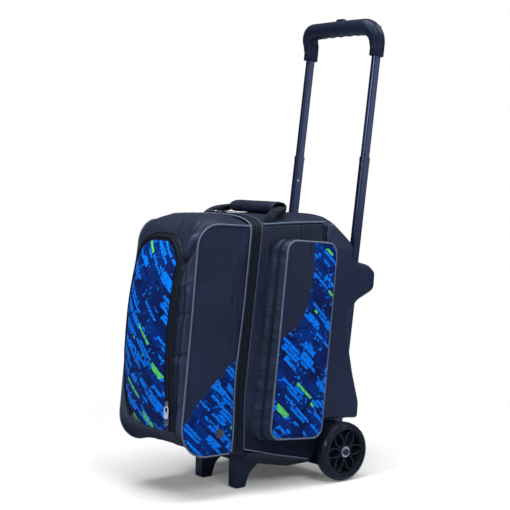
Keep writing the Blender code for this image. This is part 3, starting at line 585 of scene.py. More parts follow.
@dataclass(frozen=True)
class PaleFloor:
    """Seamless pale paper that keeps the object's shadow and runs out to white."""

    name: str
    glow: float = 0.08
    near: float = 0.42
    far: float = 1.15
    bounce: Triple = (0.42, 0.47, 0.58)

    def material(self) -> Material:
        """Mix the paper, lifted to white where the camera sees it.

        Returns:
            The material.
        """
        graph = Graph(self.name)
        where = graph.place(False)
        paper = graph.clouds(where, 6.0, 2.0)
        colour = graph.blend(paper * 0.5, (0.79, 0.79, 0.8), (0.76, 0.76, 0.77))
        seen = graph.add("ShaderNodeLightPath")
        rays = Value(graph, seen.outputs["Is Camera Ray"])
        graph.dress(Base_Color=graph.blend(rays, self.bounce, colour), Roughness=0.9, Specular_IOR_Level=0.1)
        across, deep, _ = graph.axes(where)
        reach = (across * across + deep * deep) ** 0.5
        fade = graph.value("ShaderNodeMapRange", {"interpolation_type": "SMOOTHSTEP"}, {
            "Value": reach, "From Min": self.near, "From Max": self.far, "To Min": self.glow, "To Max": 1.0})
        lift = graph.add("ShaderNodeEmission", None, {"Color": (1.0, 1.0, 1.0), "Strength": 1.0}).outputs[0]
        mixed = graph.add("ShaderNodeMixShader", None, {0: rays * fade, 1: graph.shader.outputs[0], 2: lift})
        graph.links.new(mixed.outputs[0], graph.nodes["Material Output"].inputs[0])
        return graph.material


def eased(pairs: Sequence[Point], key: float) -> float:
    """Read a smooth curve through (key, value) pairs.

    Args:
        pairs: Points of the curve, with rising keys.
        key: Key to read.

    Returns:
        The value, held at both ends.
    """
    if key <= pairs[0][0]:
        return pairs[0][1]
    for index in range(len(pairs) - 1):
        (low, start), (high, end) = pairs[index], pairs[index + 1]
        if key <= high:
            before = pairs[max(index - 1, 0)]
            after = pairs[min(index + 2, len(pairs) - 1)]
            step = high - low
            lead = (end - before[1]) / (high - before[0]) * step
            trail = (after[1] - start) / (after[0] - low) * step
            u = (key - low) / step
            return ((2.0 * u ** 3 - 3.0 * u ** 2 + 1.0) * start + (u ** 3 - 2.0 * u ** 2 + u) * lead
                    + (3.0 * u ** 2 - 2.0 * u ** 3) * end + (u ** 3 - u ** 2) * trail)
    return pairs[-1][1]


def rounded(corners: Sequence[Sequence[float]], steps: int = 7) -> list[Point]:
    """Draw an outline with an arc at each corner that has a radius.

    Args:
        corners: Corners as (a, b) or (a, b, radius).
        steps: Segments in an arc.

    Returns:
        Points of the outline, or of the open line where its ends have no radius.
    """
    points: list[Point] = []
    for index, corner in enumerate(corners):
        here = Vector(corner[:2])
        if len(corner) < 3:
            points.append(tuple(here))
            continue
        back = (Vector(corners[index - 1][:2]) - here).normalized()
        ahead = (Vector(corners[(index + 1) % len(corners)][:2]) - here).normalized()
        half = back.angle(ahead) / 2.0
        centre = here + (back + ahead).normalized() * (corner[2] / sin(half))
        start = here + back * (corner[2] / tan(half)) - centre
        sweep = (pi - 2.0 * half) * (1.0 if back.cross(ahead) < 0.0 else -1.0)
        for step in range(steps + 1):
            turn = sweep * step / steps
            points.append((centre.x + start.x * cos(turn) - start.y * sin(turn),
                           centre.y + start.x * sin(turn) + start.y * cos(turn)))
    return points


def lengths(line: Line) -> list[float]:
    """Return how far along a line each of its points lies."""
    return list(accumulate(((b - a).length for a, b in zip(line, line[1:])), initial=0.0))


def evenly(points: Sequence[Any], step: float, closed: bool = False) -> list[Vector]:
    """Space points evenly along a line.

    Args:
        points: Points of the line.
        step: Distance between the new points.
        closed: Whether the line runs back to its start.

    Returns:
        The new points, without a repeat of the first.
    """
    line = [Vector(p) for p in points]
    if closed:
        line.append(line[0].copy())
    reach = lengths(line)
    count = max(2, round(reach[-1] / step))
    made, index = [], 0
    for number in range(count if closed else count + 1):
        target = reach[-1] * number / count
        while index < len(line) - 2 and reach[index + 1] < target:
            index += 1
        span = max(reach[index + 1] - reach[index], 1e-9)
        made.append(line[index].lerp(line[index + 1], (target - reach[index]) / span))
    return made


def ripple(spot: Vector, pull: Triple, seed: float) -> float:
    """Return the folds of cloth at a spot.

    Args:
        spot: Place on the cloth.
        pull: Folds per metre along each axis.
        seed: Shift that gives each cloth folds of its own.

    Returns:
        Height, about -1 in a valley and 1 on a fold.
    """
    where = Vector((spot.x * pull[0] + seed, spot.y * pull[1], spot.z * pull[2] - seed))
    fold = 1.0 - 2.0 * sqrt(noise.noise(where) ** 2 + 0.006)
    return 0.6 * fold * fold * fold + 0.4 * noise.noise(where * 2.3)


@dataclass(frozen=True)
class Crease:
    """A pulled fold: a soft ridge or valley along a line on a panel's own plane."""

    start: Point
    end: Point
    width: float
    depth: float

    def lift(self, spot: Point) -> float:
        """Return the height of the fold at a spot, fading past both ends.

        Args:
            spot: Place on the panel's plane.

        Returns:
            Height in metres.
        """
        a, run = Vector(self.start), Vector(self.end) - Vector(self.start)
        share = (Vector(spot) - a).dot(run) / run.length_squared
        off = (Vector(spot) - a - run * share).length
        past = max(0.0, -share, share - 1.0) * run.length
        return self.depth * exp(-(off / self.width) ** 2 - (past / (2.0 * self.width)) ** 2)


def clear() -> None:
    """Leave every piece unselected, in object mode."""
    if bpy.context.object is not None and bpy.context.object.mode != "OBJECT":
        bpy.ops.object.mode_set(mode="OBJECT")
    bpy.ops.object.select_all(action="DESELECT")


def pick(piece: Piece) -> None:
    """Select one piece alone and make it active.

    Args:
        piece: Piece to select.
    """
    clear()
    piece.select_set(True)
    bpy.context.view_layer.objects.active = piece


@dataclass
class Assembly:
    """Base of the sub-assemblies: makes, finishes and mounts their pieces."""

    nodes: dict[str, Piece]
    finish: Finishes

    def skin(self, name: str, points: Line, faces: Sequence[Sequence[int]],
             uvs: Sequence[Sequence[Point]], inside: Vector | None = None) -> Piece:
        """Make a mesh object.

        Args:
            name: Name of the piece.
            points: Vertices.
            faces: Vertex numbers of each face.
            uvs: UV in metres of each corner of each face.
            inside: Point that the faces look away from; a closed mesh needs none.

        Returns:
            The object.
        """
        shape = bmesh.new()
        layer = shape.loops.layers.uv.new("cloth")
        made = [shape.verts.new(p) for p in points]
        for face, corners in zip(faces, uvs):
            new = shape.faces.new([made[i] for i in face])
            new.smooth = True
            for loop, corner in zip(new.loops, corners):
                loop[layer].uv = corner
        shape.normal_update()
        if inside is None:
            bmesh.ops.recalc_face_normals(shape, faces=shape.faces)
        elif sum(f.normal.dot(f.calc_center_median() - inside) for f in shape.faces) < 0.0:
            bmesh.ops.reverse_faces(shape, faces=shape.faces)
        mesh = bpy.data.meshes.new(name)
        shape.to_mesh(mesh)
        shape.free()
        piece = bpy.data.objects.new(name, mesh)
        bpy.context.scene.collection.objects.link(piece)
        return piece

    def lattice(self, name: str, rows: Sequence[Line], inside: Vector | None = None,
                closed: bool = False, capped: bool = False) -> Piece:
        """Skin rows of points.

        Args:
            name: Name of the piece.
            rows: Rows with the same number of points.
            inside: Point that the faces look away from.
            closed: Whether each row is a ring.
            capped: Whether the first and last ring are closed with a fan.

        Returns:
            The object, with UV along the rows and across them in metres.
        """
        count = len(rows[0])
        middle = rows[len(rows) // 2]
        across = lengths([*middle, middle[0]])
        along = lengths([row[count // 2] for row in rows])
        points = [p for row in rows for p in row]
        faces, uvs = [], []
        for i in range(len(rows) - 1):
            for j in range(count if closed else count - 1):
                k = (j + 1) % count
                faces.append((i * count + j, i * count + k, (i + 1) * count + k, (i + 1) * count + j))
                uvs.append(((across[j], along[i]), (across[j + 1], along[i]), (across[j + 1], along[i + 1]),
                            (across[j], along[i + 1])))
        if capped:
            for first, reach in ((0, along[0]), ((len(rows) - 1) * count, along[-1])):
                centre = sum((points[first + j] for j in range(count)), Vector()) / count
                points.append(centre)
                for j in range(count):
                    faces.append((first + j, first + (j + 1) % count, len(points) - 1))
                    uvs.append(((across[j], reach), (across[j + 1], reach), (across[j], reach + 0.002)))
        return self.skin(name, points, faces, uvs, inside)

    def panel(self, name: str, outline: Sequence[Point], centre: Point, place: Place,
              height: Swell, inside: Vector, rings: int = 26, tight: float = 1.15) -> Piece:
        """Make a sewn panel that swells between its edges.

        Args:
            name: Name of the piece.
            outline: Closed outline on the panel's own plane.
            centre: Point that every part of the outline faces.
            place: Turns a place on the plane and a height into a point of the bag.
            height: Swell at a share of the way to the edge and a place on the plane.
            inside: Point that the faces look away from.
            rings: Rings of faces from the edge to the centre.
            tight: How close the rings lie at the edge.

        Returns:
            The object, with the plane's own coordinates as UV.
        """
        edge, middle = evenly(outline, 0.0034, True), Vector(centre)
        count, last = len(edge), (rings - 1) * len(edge)
        shares = [1.0 - (ring / rings) ** tight for ring in range(rings)]
        flat = [(share, tuple(middle.lerp(spot, share))) for share in shares for spot in edge]
        flat.append((0.0, tuple(middle)))
        points = [place(*spot, height(share, spot)) for share, spot in flat]
        after = [*range(1, count), 0]
        faces: list[tuple[int, ...]] = []
        for first in range(0, last, count):
            faces += [(first + j, first + k, first + count + k, first + count + j) for j, k in enumerate(after)]
        faces += [(last + j, last + k, last + count) for j, k in enumerate(after)]
        return self.skin(name, points, faces, [[flat[i][1] for i in face] for face in faces], inside)

    def cord(self, name: str, path: Line, radius: float | Callable[[int], float],
             closed: bool = False, sides: int = 8, flatten: float = 1.0) -> Piece:
        """Sweep a round section along a path.

        Args:
            name: Name of the piece.
            path: Points of the centre line.
            radius: Radius, or a function of the point's number.
            closed: Whether the path runs back to its start.
            sides: Points round the section.
            flatten: Share of the radius along the second axis of the section.

        Returns:
            The object.
        """
        count = len(path)
        rows, side = [], None
        for index, here in enumerate(path):
            before = path[(index - 1) % count] if closed or index else here
            after = path[(index + 1) % count] if closed or index < count - 1 else here
            ahead = (after - before).normalized()
            if side is None:
                side = ahead.orthogonal().normalized()
            side = (side - ahead * side.dot(ahead)).normalized()
            over = ahead.cross(side)
            size = radius(index) if callable(radius) else radius
            turns = [tau * k / sides for k in range(sides)]
            rows.append([here + side * (size * cos(turn)) + over * (size * flatten * sin(turn))
                         for turn in turns])
        if closed:
            rows.append(rows[0])
            piece = self.lattice(name, rows, None, True)
            self.merge(piece)
            return piece
        return self.lattice(name, rows, None, True, True)

    def merge(self, piece: Piece) -> None:
        """Join vertices that lie on each other.

        Args:
            piece: Closed mesh.
        """
        shape = bmesh.new()
        shape.from_mesh(piece.data)
        bmesh.ops.remove_doubles(shape, verts=shape.verts, dist=1e-6)
        bmesh.ops.recalc_face_normals(shape, faces=shape.faces)
        shape.to_mesh(piece.data)
        shape.free()

    def rub(self, piece: Piece, folds: Sequence[float]) -> None:
        """Note how far each vertex lies on the back of a fold, from -1 in a valley to 1, which the cloth paints
        as shade in valleys and highlight on ridges.
        """
        note = piece.data.attributes.new("fold", "FLOAT", "POINT")
        note.data.foreach_set("value", [min(1.0, max(-1.0, fold)) for fold in folds])

    def piping(self, name: str, path: Line, radius: float, finish: Material, body: str,
               closed: bool = False) -> None:
        """Lay a round cord along a seam and mount it."""
        self.mount(self.cord(name, path, radius, closed), finish, body, Slot.NAVY)

    def thicken(self, piece: Piece, wall: float) -> None:
        """Give a sheet a wall behind its face.

        Args:
            piece: Sheet with its faces outwards.
            wall: Thickness.
        """
        step = piece.modifiers.new("wall", "SOLIDIFY")
        step.thickness = wall
        step.offset = -1.0
        pick(piece)
        bpy.ops.object.modifier_apply(modifier=step.name)

    def mount(self, piece: Piece, finish: Material, body: str, slot: Slot,
              stands_for: Sequence[str] = (), fill: float | None = None, wall: float = 0.0) -> None:
        """Dress a new piece and put it on its body.

        Args:
            piece: Finished mesh at the origin.
            finish: Material.
            body: CAD body that it rides on.
            slot: Material slot of the record; not used.
            stands_for: CAD nodes that it replaces.
            fill: Fill of a padded piece, or None; not used.
            wall: Thickness that a sheet gets behind its face, or 0.
        """
        if wall:
            self.thicken(piece, wall)
        piece.data.materials.clear()
        piece.data.materials.append(finish)
        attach(piece, body)
        if stands_for:
            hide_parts(*stands_for)
        LOG.info("%s on %s, %d faces", piece.name, body, len(piece.data.polygons))

    def dress(self, finish: Material, slot: Slot, *names: str) -> None:
        """Give CAD nodes that stay their finish.

        Args:
            finish: Material.
            slot: Material slot of the record; not used.
            *names: CAD nodes.
        """
        for name in names:
            node = self.nodes[name]
            node.data.materials.clear()
            node.data.materials.append(finish)
            LOG.info("%s dressed", name)


def mixed(recipe: Any) -> Any:
    """Return a field that holds a recipe's material, mixed when the finishes are made."""
    return field(default_factory=recipe.material)


@dataclass(frozen=True)
class Finishes:
    """Every finish of the bag."""

    navy: Material = mixed(WovenCloth(
        "navy_polyester", (0.0048, 0.007, 0.018), (0.016, 0.0212, 0.046), 0.52, 0.26, 0.0022, 0.003))
    # Painted shade darkens the dark nylon below 158 mm.
    nylon: Material = mixed(WovenCloth(
        "dark_nylon", (0.005, 0.0068, 0.0165), (0.019, 0.023, 0.046), 0.43, 0.34, 0.0034, 0.0016,
        underside=0.158))
    gusset: Material = mixed(WovenCloth(
        "gusset_nylon", (0.0044, 0.0058, 0.0145), (0.0082, 0.0106, 0.023), 0.5, 0.36, 0.0022, 0.0026))
    print: Material = mixed(DashPrint("dash_print"))
    plastic: Material = mixed(MouldedPlastic(
        "charcoal_moulding", (0.0056, 0.0072, 0.0165), (0.0102, 0.0126, 0.026), 0.36))
    guard: Material = mixed(MouldedPlastic(
        "guard_moulding", (0.0044, 0.0066, 0.022), (0.0085, 0.0118, 0.035), 0.38, shine=0.34))
    grip: Material = mixed(MouldedPlastic(
        "grip_moulding", (0.0046, 0.0062, 0.0165), (0.0088, 0.0112, 0.026), 0.42, 1300.0))
    rim: Material = mixed(MouldedPlastic(
        "rim_moulding", (0.0085, 0.0095, 0.015), (0.019, 0.0205, 0.029), 0.36))
    enamel: Material = mixed(GlossEnamel("blue_black_tube"))
    tyre: Material = mixed(CastUrethane("black_urethane", (DATUM + AXLE[0], AXLE[1]), 0.0605))
    steel: Material = mixed(PlatedSteel("zinc_plate"))
    nickel: Material = mixed(PlatedSteel("bright_nickel", (0.74, 0.76, 0.82), (0.46, 0.48, 0.54), 0.3))
    gunmetal: Material = mixed(PlatedSteel("gunmetal_plate", (0.2, 0.2, 0.23), (0.09, 0.09, 0.11), 0.3))
    pewter: Material = mixed(PlatedSteel("pewter_plate", (0.085, 0.086, 0.095), (0.045, 0.046, 0.052), 0.46))
    webbing: Material = mixed(NylonBand(
        "black_webbing", (0.0045, 0.0055, 0.0105), (0.013, 0.015, 0.0235), 0.0022, 0.0006))
    tape: Material = mixed(NylonBand(
        "zip_tape", (0.0028, 0.0032, 0.0062), (0.0075, 0.0085, 0.0145), 0.0012, 0.0003))
    coil: Material = mixed(NylonBand(
        "zip_coil", (0.0028, 0.003, 0.0045), (0.014, 0.015, 0.0195), 0.0015, 0.0004, 0.38))
    piping: Material = mixed(PipingCord("grey_piping"))
    shaded: Material = mixed(PipingCord("shaded_piping", (0.04, 0.052, 0.078), (0.02, 0.026, 0.042)))
    edging: Material = mixed(PipingCord("dark_edging", (0.009, 0.0105, 0.0185), (0.005, 0.006, 0.011)))
    thread: Material = mixed(NylonBand(
        "sewing_thread", (0.012, 0.0145, 0.026), (0.033, 0.038, 0.054), 0.0009, 0.0002))
    foam: Material = mixed(FacedFoam("faced_foam"))


class Smith:
    """Models small hard pieces with edit-mode operators, lying flat at the origin."""

    def finish(self, name: str) -> Piece:
        """Leave edit mode, smooth the faces but for sharp edges, and name the piece.

        Args:
            name: Name of the piece.

        Returns:
            The piece.
        """
        bpy.ops.mesh.select_all(action="SELECT")
        bpy.ops.mesh.normals_make_consistent()
        bpy.ops.object.mode_set(mode="OBJECT")
        bpy.ops.object.shade_smooth_by_angle(angle=radians(40.0))
        piece = bpy.context.object
        piece.name = piece.data.name = name
        return piece

    def choose(self, test: Callable[[Vector], bool]) -> None:
        """Select vertices, in edit mode.

        Args:
            test: Tells from a vertex's place whether it is selected.
        """
        bpy.ops.mesh.select_all(action="DESELECT")
        bpy.ops.object.mode_set(mode="OBJECT")
        for vert in bpy.context.object.data.vertices:
            vert.select = test(vert.co)
        bpy.ops.object.mode_set(mode="EDIT")

    def slider(self, name: str) -> Piece:
        """Model a zip slider: a tapered, rounded body with a bridge over it.

        Args:
            name: Name of the piece.

        Returns:
            The piece, along Y with its narrow end at -Y and its back on Z 0.
        """
        clear()
        bpy.ops.mesh.primitive_cube_add(size=1.0)
        bpy.ops.object.mode_set(mode="EDIT")
        bpy.ops.mesh.select_mode(type="VERT")
        bpy.ops.transform.resize(value=(0.0094, 0.0128, 0.0042))
        bpy.ops.transform.translate(value=(0.0, 0.0, 0.0021))
        self.choose(lambda co: co.y < 0.0)
        bpy.ops.transform.resize(value=(0.7, 1.0, 0.86))
        bpy.ops.mesh.select_all(action="SELECT")
        bpy.ops.mesh.bevel(offset=0.0012, segments=3)
        bpy.ops.mesh.select_all(action="DESELECT")
        bpy.ops.mesh.primitive_circle_add(vertices=12, radius=0.001, location=(0.0, -0.004, 0.0036))
        bpy.ops.mesh.spin(steps=12, angle=pi, center=(0.0, 0.0, 0.0036), axis=(-1.0, 0.0, 0.0))
        return self.finish(name)

    def pull(self, name: str, length: float, wide: float = 0.0094) -> Piece:
        """Model a zip pull: a plate with round ends and an eye at each end.

        Args:
            name: Name of the piece.
            length: Length over the ends.
            wide: Width.

        Returns:
            The piece, with its upper eye at the origin and its length along -Y.
        """
        clear()
        reach = length - wide
        bpy.ops.mesh.primitive_circle_add(vertices=32, radius=wide / 2.0)
        bpy.ops.object.mode_set(mode="EDIT")
        bpy.ops.mesh.select_mode(type="VERT")
        self.choose(lambda co: co.y < -1e-5)
        bpy.ops.transform.translate(value=(0.0, -reach, 0.0))
        bpy.ops.mesh.select_all(action="DESELECT")
        bpy.ops.mesh.primitive_circle_add(vertices=32, radius=wide * 0.24)
        self.choose(lambda co: hypot(co.x, co.y) < wide * 0.3 and co.y < -1e-5)
        bpy.ops.transform.translate(value=(0.0, -reach * 0.22, 0.0))
        bpy.ops.mesh.select_all(action="SELECT")
        bpy.ops.mesh.bridge_edge_loops()
        bpy.ops.object.mode_set(mode="OBJECT")
        wall = bpy.context.object.modifiers.new("wall", "SOLIDIFY")
        wall.thickness, wall.offset = 0.0016, 0.0
        bpy.ops.object.modifier_apply(modifier=wall.name)
        bpy.ops.object.mode_set(mode="EDIT")
        bpy.ops.mesh.select_all(action="DESELECT")
        bpy.ops.mesh.edges_select_sharp(sharpness=radians(50.0))
        bpy.ops.mesh.bevel(offset=0.0004, segments=2)
        return self.finish(name)

    def key(self, name: str, size: Triple) -> Piece:
        """Model a push key with round corners and a rolled top.

        Args:
            name: Name of the piece.
            size: Size along X, Y and Z.

        Returns:
            The piece, standing on Z 0.
        """
        clear()
        bpy.ops.mesh.primitive_cube_add(size=1.0)
        bpy.ops.object.mode_set(mode="EDIT")
        bpy.ops.transform.resize(value=size)
        bpy.ops.transform.translate(value=(0.0, 0.0, size[2] / 2.0))
        self.choose(lambda co: co.z > size[2] / 2.0)
        bpy.ops.transform.resize(value=(0.86, 0.8, 1.0))
        bpy.ops.mesh.select_all(action="SELECT")
        bpy.ops.mesh.bevel(offset=0.0028, segments=4)
        return self.finish(name)

    def stud(self, name: str, radius: float, height: float, socket: float) -> Piece:
        """Model a round head with a rounded rim and a sunk middle.

        Args:
            name: Name of the piece.
            radius: Radius.
            height: Height.
            socket: Depth of the sunk middle.

        Returns:
            The piece, standing on Z 0.
        """
        clear()
        bpy.ops.mesh.primitive_cylinder_add(vertices=32, radius=radius, depth=height,
                                            location=(0.0, 0.0, height / 2.0))
        bpy.ops.object.transform_apply()
        bpy.ops.object.mode_set(mode="EDIT")
        bpy.ops.mesh.select_mode(type="FACE")
        self.choose(lambda co: co.z > height * 0.9)
        bpy.ops.mesh.select_mode(type="FACE")
        bpy.ops.mesh.bevel(offset=min(radius, height) * 0.35, segments=3)
        self.choose(lambda co: co.z > height * 0.999)
        bpy.ops.mesh.select_mode(type="FACE")
        bpy.ops.mesh.inset(thickness=radius * 0.35)
        bpy.ops.mesh.extrude_region_move(TRANSFORM_OT_translate={"value": (0.0, 0.0, -socket)})
        return self.finish(name)

    def spoke(self, start: Vector, middle: Vector, end: Vector) -> Piece:
        """Model one curved rib of a wheel as a section spun along an arc.

        Args:
            start: End at the hub.
            middle: Point on the arc.
            end: End at the rim.

        Returns:
            The rib, in X and Y with its depth along Z.
        """
        a, b = middle - start, end - start
        turn = 2.0 * a.cross(b)
        offset = Vector((b.y * a.length_squared - a.y * b.length_squared,
                         a.x * b.length_squared - b.x * a.length_squared)) / turn
        centre = start + offset
        radial = -offset.normalized()
        sweep = (start - centre).angle_signed(end - centre)
        clear()
        bpy.ops.mesh.primitive_plane_add(size=1.0)
        section = ((-0.0011, -0.004), (0.0011, -0.004), (-0.0011, 0.01), (0.0011, 0.01))
        for vert, (out, up) in zip(bpy.context.object.data.vertices, section):
            vert.co = (start.x + radial.x * out, start.y + radial.y * out, up)
        bpy.ops.object.mode_set(mode="EDIT")
        bpy.ops.mesh.select_all(action="SELECT")
        bpy.ops.mesh.spin(steps=14, angle=sweep, center=(centre.x, centre.y, 0.0), axis=(0.0, 0.0, 1.0))
        self.choose(lambda co: co.z > 0.0099)
        bpy.ops.mesh.bevel(offset=0.0005, segments=2)
        return self.finish("rib")

    def rim(self, name: str) -> Piece:
        """Model a dished rim with six petals of two ribs each.

        Args:
            name: Name of the piece.

        Returns:
            The piece, about Z with its outer face up.
        """
        ribs = []
        for petal in range(6):
            turn = pi * (petal + 0.5) / 3.0
            along = Vector((sin(turn), cos(turn)))
            aside = Vector((along.y, -along.x))
            for hand in (1.0, -1.0):
                ribs.append(self.spoke(*(along * r + aside * (hand * v) for r, v in (
                    (0.0122, 0.0042), (0.029, 0.0104), (0.049, 0.0022)))))
        clear()
        bpy.ops.mesh.primitive_cylinder_add(vertices=72, radius=0.0515, depth=0.03)
        bpy.ops.object.mode_set(mode="EDIT")
        for top, steps in ((1.0, ((0.003, -0.0225), (0.0345, 0.0205), (0.0028, -0.0025))),
                           (-1.0, ((0.0035, 0.006), (0.03, -0.006)))):
            bpy.ops.mesh.select_mode(type="VERT")
            self.choose(lambda co: co.z * top > 0.0149)
            bpy.ops.mesh.select_mode(type="FACE")
            for inset, move in steps:
                bpy.ops.mesh.inset(thickness=inset)
                bpy.ops.mesh.extrude_region_move(TRANSFORM_OT_translate={"value": (0.0, 0.0, move)})
        bpy.ops.mesh.select_mode(type="EDGE")
        bpy.ops.mesh.select_all(action="DESELECT")
        bpy.ops.mesh.edges_select_sharp(sharpness=radians(50.0))
        bpy.ops.mesh.bevel(offset=0.0007, segments=2)
        dish = self.finish(name)
        for rib in ribs:
            rib.select_set(True)
        dish.select_set(True)
        bpy.context.view_layer.objects.active = dish
        bpy.ops.object.join()
        return dish

    def seat(self, piece: Piece, at: Vector, along: Vector, out: Vector) -> Piece:
        """Move a piece from the origin to its place and leave it unturned.

        Args:
            piece: Piece that was modelled at the origin.
            at: Place of its origin.
            along: Direction of its Y axis.
            out: Direction of its Z axis, roughly.

        Returns:
            The piece.
        """
        y = along.normalized()
        x = y.cross(out).normalized()
        z = x.cross(y)
        turn = Matrix((x, y, z)).transposed().to_4x4()
        pick(piece)
        piece.matrix_world = Matrix.Translation(at) @ turn
        bpy.ops.object.transform_apply()
        return piece


# Half the width of the bag over its side panels, and the rise of its top.
HALF = 0.1195
CROWN = 0.019
# Seams of the door and of the ball compartment, as (height, depth).
DOOR_SEAM: Corners = (
    (0.0925, -0.048), (0.136, -0.0433), (0.243, -0.0377), (0.339, -0.0236), (0.408, -0.0132), (0.555, 0.0051))
BAG_SEAM: Corners = (
    (0.098, -0.0153), (0.1985, -0.0133), (0.24, -0.0081), (0.339, 0.0045), (0.408, 0.014), (0.5, 0.0265),
    (0.556, 0.0339))
# Right half of the zip's arch seen from the front, as (across, height).
ARCH: Corners = (
    (0.1202, 0.094), (0.1203, 0.15), (0.1205, 0.3), (0.1207, 0.45), (0.1209, 0.52), (0.1209, 0.538),
    (0.1198, 0.55), (0.116, 0.5592), (0.108, 0.5648), (0.095, 0.5695), (0.07, 0.5742), (0.04, 0.5762),
    (0.0, 0.5768))
# Ends of the door's front, as (depth, height), and how far the pouch stands out along it.
DOOR_LOW = Vector((-0.1735, 0.092))
DOOR_HIGH = Vector((-0.118, 0.567))
POUCH: Corners = (
    (0.0, -0.019), (0.02, -0.016), (0.037, -0.006), (0.055, 0.005), (0.075, 0.011), (0.1, 0.016),
    (0.14, 0.0245), (0.2, 0.034), (0.3, 0.036), (0.37, 0.029), (0.42, 0.018), (0.46, 0.003), (0.5, -0.004))
# Distance between the points of a zip's coil.
COIL = 0.00085


def point(x: float, depth: float, height: float) -> Vector:
    """Return a point of the frame from its depth behind the datum."""
    return Vector((x, depth + DATUM, height))


def held(share: float) -> float:
    """Return a share held between 0 and 1."""
    return min(1.0, max(0.0, share))


def smooth(share: float) -> float:
    """Return a share held between 0 and 1, with soft ends."""
    share = held(share)
    return share * share * (3.0 - 2.0 * share)


def crown(x: float) -> float:
    """Return the rise of a panel across the bag, from 1 in the middle to 0 at the sides."""
    return 1.0 - min(1.0, abs(x) / HALF) ** 4


def boxed(value: float, power: float) -> float:
    """Return a sine or cosine that makes a round section squarer, with its sign kept."""
    return copysign(abs(value) ** power, value)


def beaded(odd: float, even: float) -> Callable[[int], float]:
    """Return a radius that changes from point to point of a cord."""
    return lambda index: odd if index % 2 else even


def laid(power: int) -> Swell:
    """Return the height of a cloth that lies on another and turns down at its edge."""
    return lambda share, spot: 0.001 * (1.0 - share ** power) + 0.0003


def drawn_in(depth: float, height: float, side: float) -> float:
    """Return how far one side of the door draws in towards its front and its top."""
    top = (0.003 if side > 0.0 else 0.015) * smooth((height - 0.36) / 0.18)
    return (0.007 + top) * smooth((-0.02 - depth) / 0.13)


def on_door(hand: Hand) -> Place:
    """Return the place on one side of the door of (depth, height, out)."""
    return lambda depth, height, out: on_side(hand)(depth, height, out - drawn_in(depth, height, hand.value))


def on_side(hand: Hand) -> Place:
    """Return the place on one side of the bag of (depth, height, out)."""
    return lambda depth, height, out: point(hand.value * (HALF + out), depth, height)


def left_of(line: Line, index: int) -> Vector:
    """Return the unit step to the left of an open flat line, at one of its points."""
    run = (line[min(index + 1, len(line) - 1)] - line[max(index - 1, 0)]).normalized()
    return Vector((-run.y, run.x))


def arch(share: float, lift: float, step: float = 0.004) -> list[Vector]:
    """Draw a line up one side of the bag, over the top and down the other side.

    Args:
        share: 0 on the door's seam, 1 on the seam of the ball compartment.
        lift: Distance out of the cloth.
        step: Distance between points.

    Returns:
        Points from the right foot of the line to the left one.
    """
    across, heights = ([(i, p[axis]) for i, p in enumerate(ARCH)] for axis in (0, 1))
    keys = [u / 8.0 for u in range(8 * (len(ARCH) - 1) + 1)]
    line = evenly([(eased(across, key), eased(heights, key)) for key in keys], step)
    right = []
    for index, spot in enumerate(line):
        spot = spot - left_of(line, index) * lift
        depth = (1.0 - share) * eased(DOOR_SEAM, spot.y) + share * eased(BAG_SEAM, spot.y)
        right.append(point(max(spot.x, 0.0), depth, spot.y))
    return right + [Vector((-p.x, p.y, p.z)) for p in right[-2::-1]]


def door_front(along: float, out: float) -> Vector:
    """Return the (depth, height) of a spot up the line of the door's front and out of it."""
    up = (DOOR_HIGH - DOOR_LOW).normalized()
    return DOOR_LOW + up * along + Vector((-up.y, up.x)) * out


def beside(line: Line, distance: float) -> list[Vector]:
    """Return an open flat line moved to the left of its run."""
    return [here + left_of(line, index) * distance for index, here in enumerate(line)]


class Drape:
    """Lays cloth on the face of another piece."""

    def __init__(self, under: Piece) -> None:
        """Read the faces of the piece that is laid on."""
        faces = [tuple(p.vertices) for p in under.data.polygons]
        self.tree = BVHTree.FromPolygons([v.co for v in under.data.vertices], faces)

    def side(self, hand: Hand, fallback: float) -> Place:
        """Return the place on a side face of (depth, height, out).

        Args:
            hand: Side of the bag.
            fallback: Distance from the middle where no face lies further out.

        Returns:
            The place.
        """
        def place(depth: float, height: float, out: float) -> Vector:
            """Meet the face with a ray from the side.

            Args:
                depth: Depth of the ray.
                height: Height of the ray.
                out: Distance out of the face.

            Returns:
                The point.
            """
            spot, _, _, _ = self.tree.ray_cast(point(hand.value * 0.4, depth, height), -hand.out)
            reach = fallback if spot is None else max(abs(spot.x), fallback)
            return point(hand.value * (reach + out), depth, height)
        return place

    def front(self) -> Place:
        """Read places on the door's front.

        Returns:
            The place of (across, along, out).
        """
        def place(across: float, along: float, out: float) -> Vector:
            """Meet the face with a ray from the front.

            Args:
                across: Place across the bag.
                along: Place up the line of the door's front.
                out: Distance out of the face.

            Returns:
                The point.
            """
            far, near = door_front(along, 0.12), door_front(along, 0.0)
            start, end = (point(across, p.x, p.y) for p in (far, near))
            aim = (end - start).normalized()
            spot, normal, _, _ = self.tree.ray_cast(start, aim)
            if spot is None:
                return end - aim * out
            return spot + normal * (-out if normal.dot(aim) > 0.0 else out)
        return place


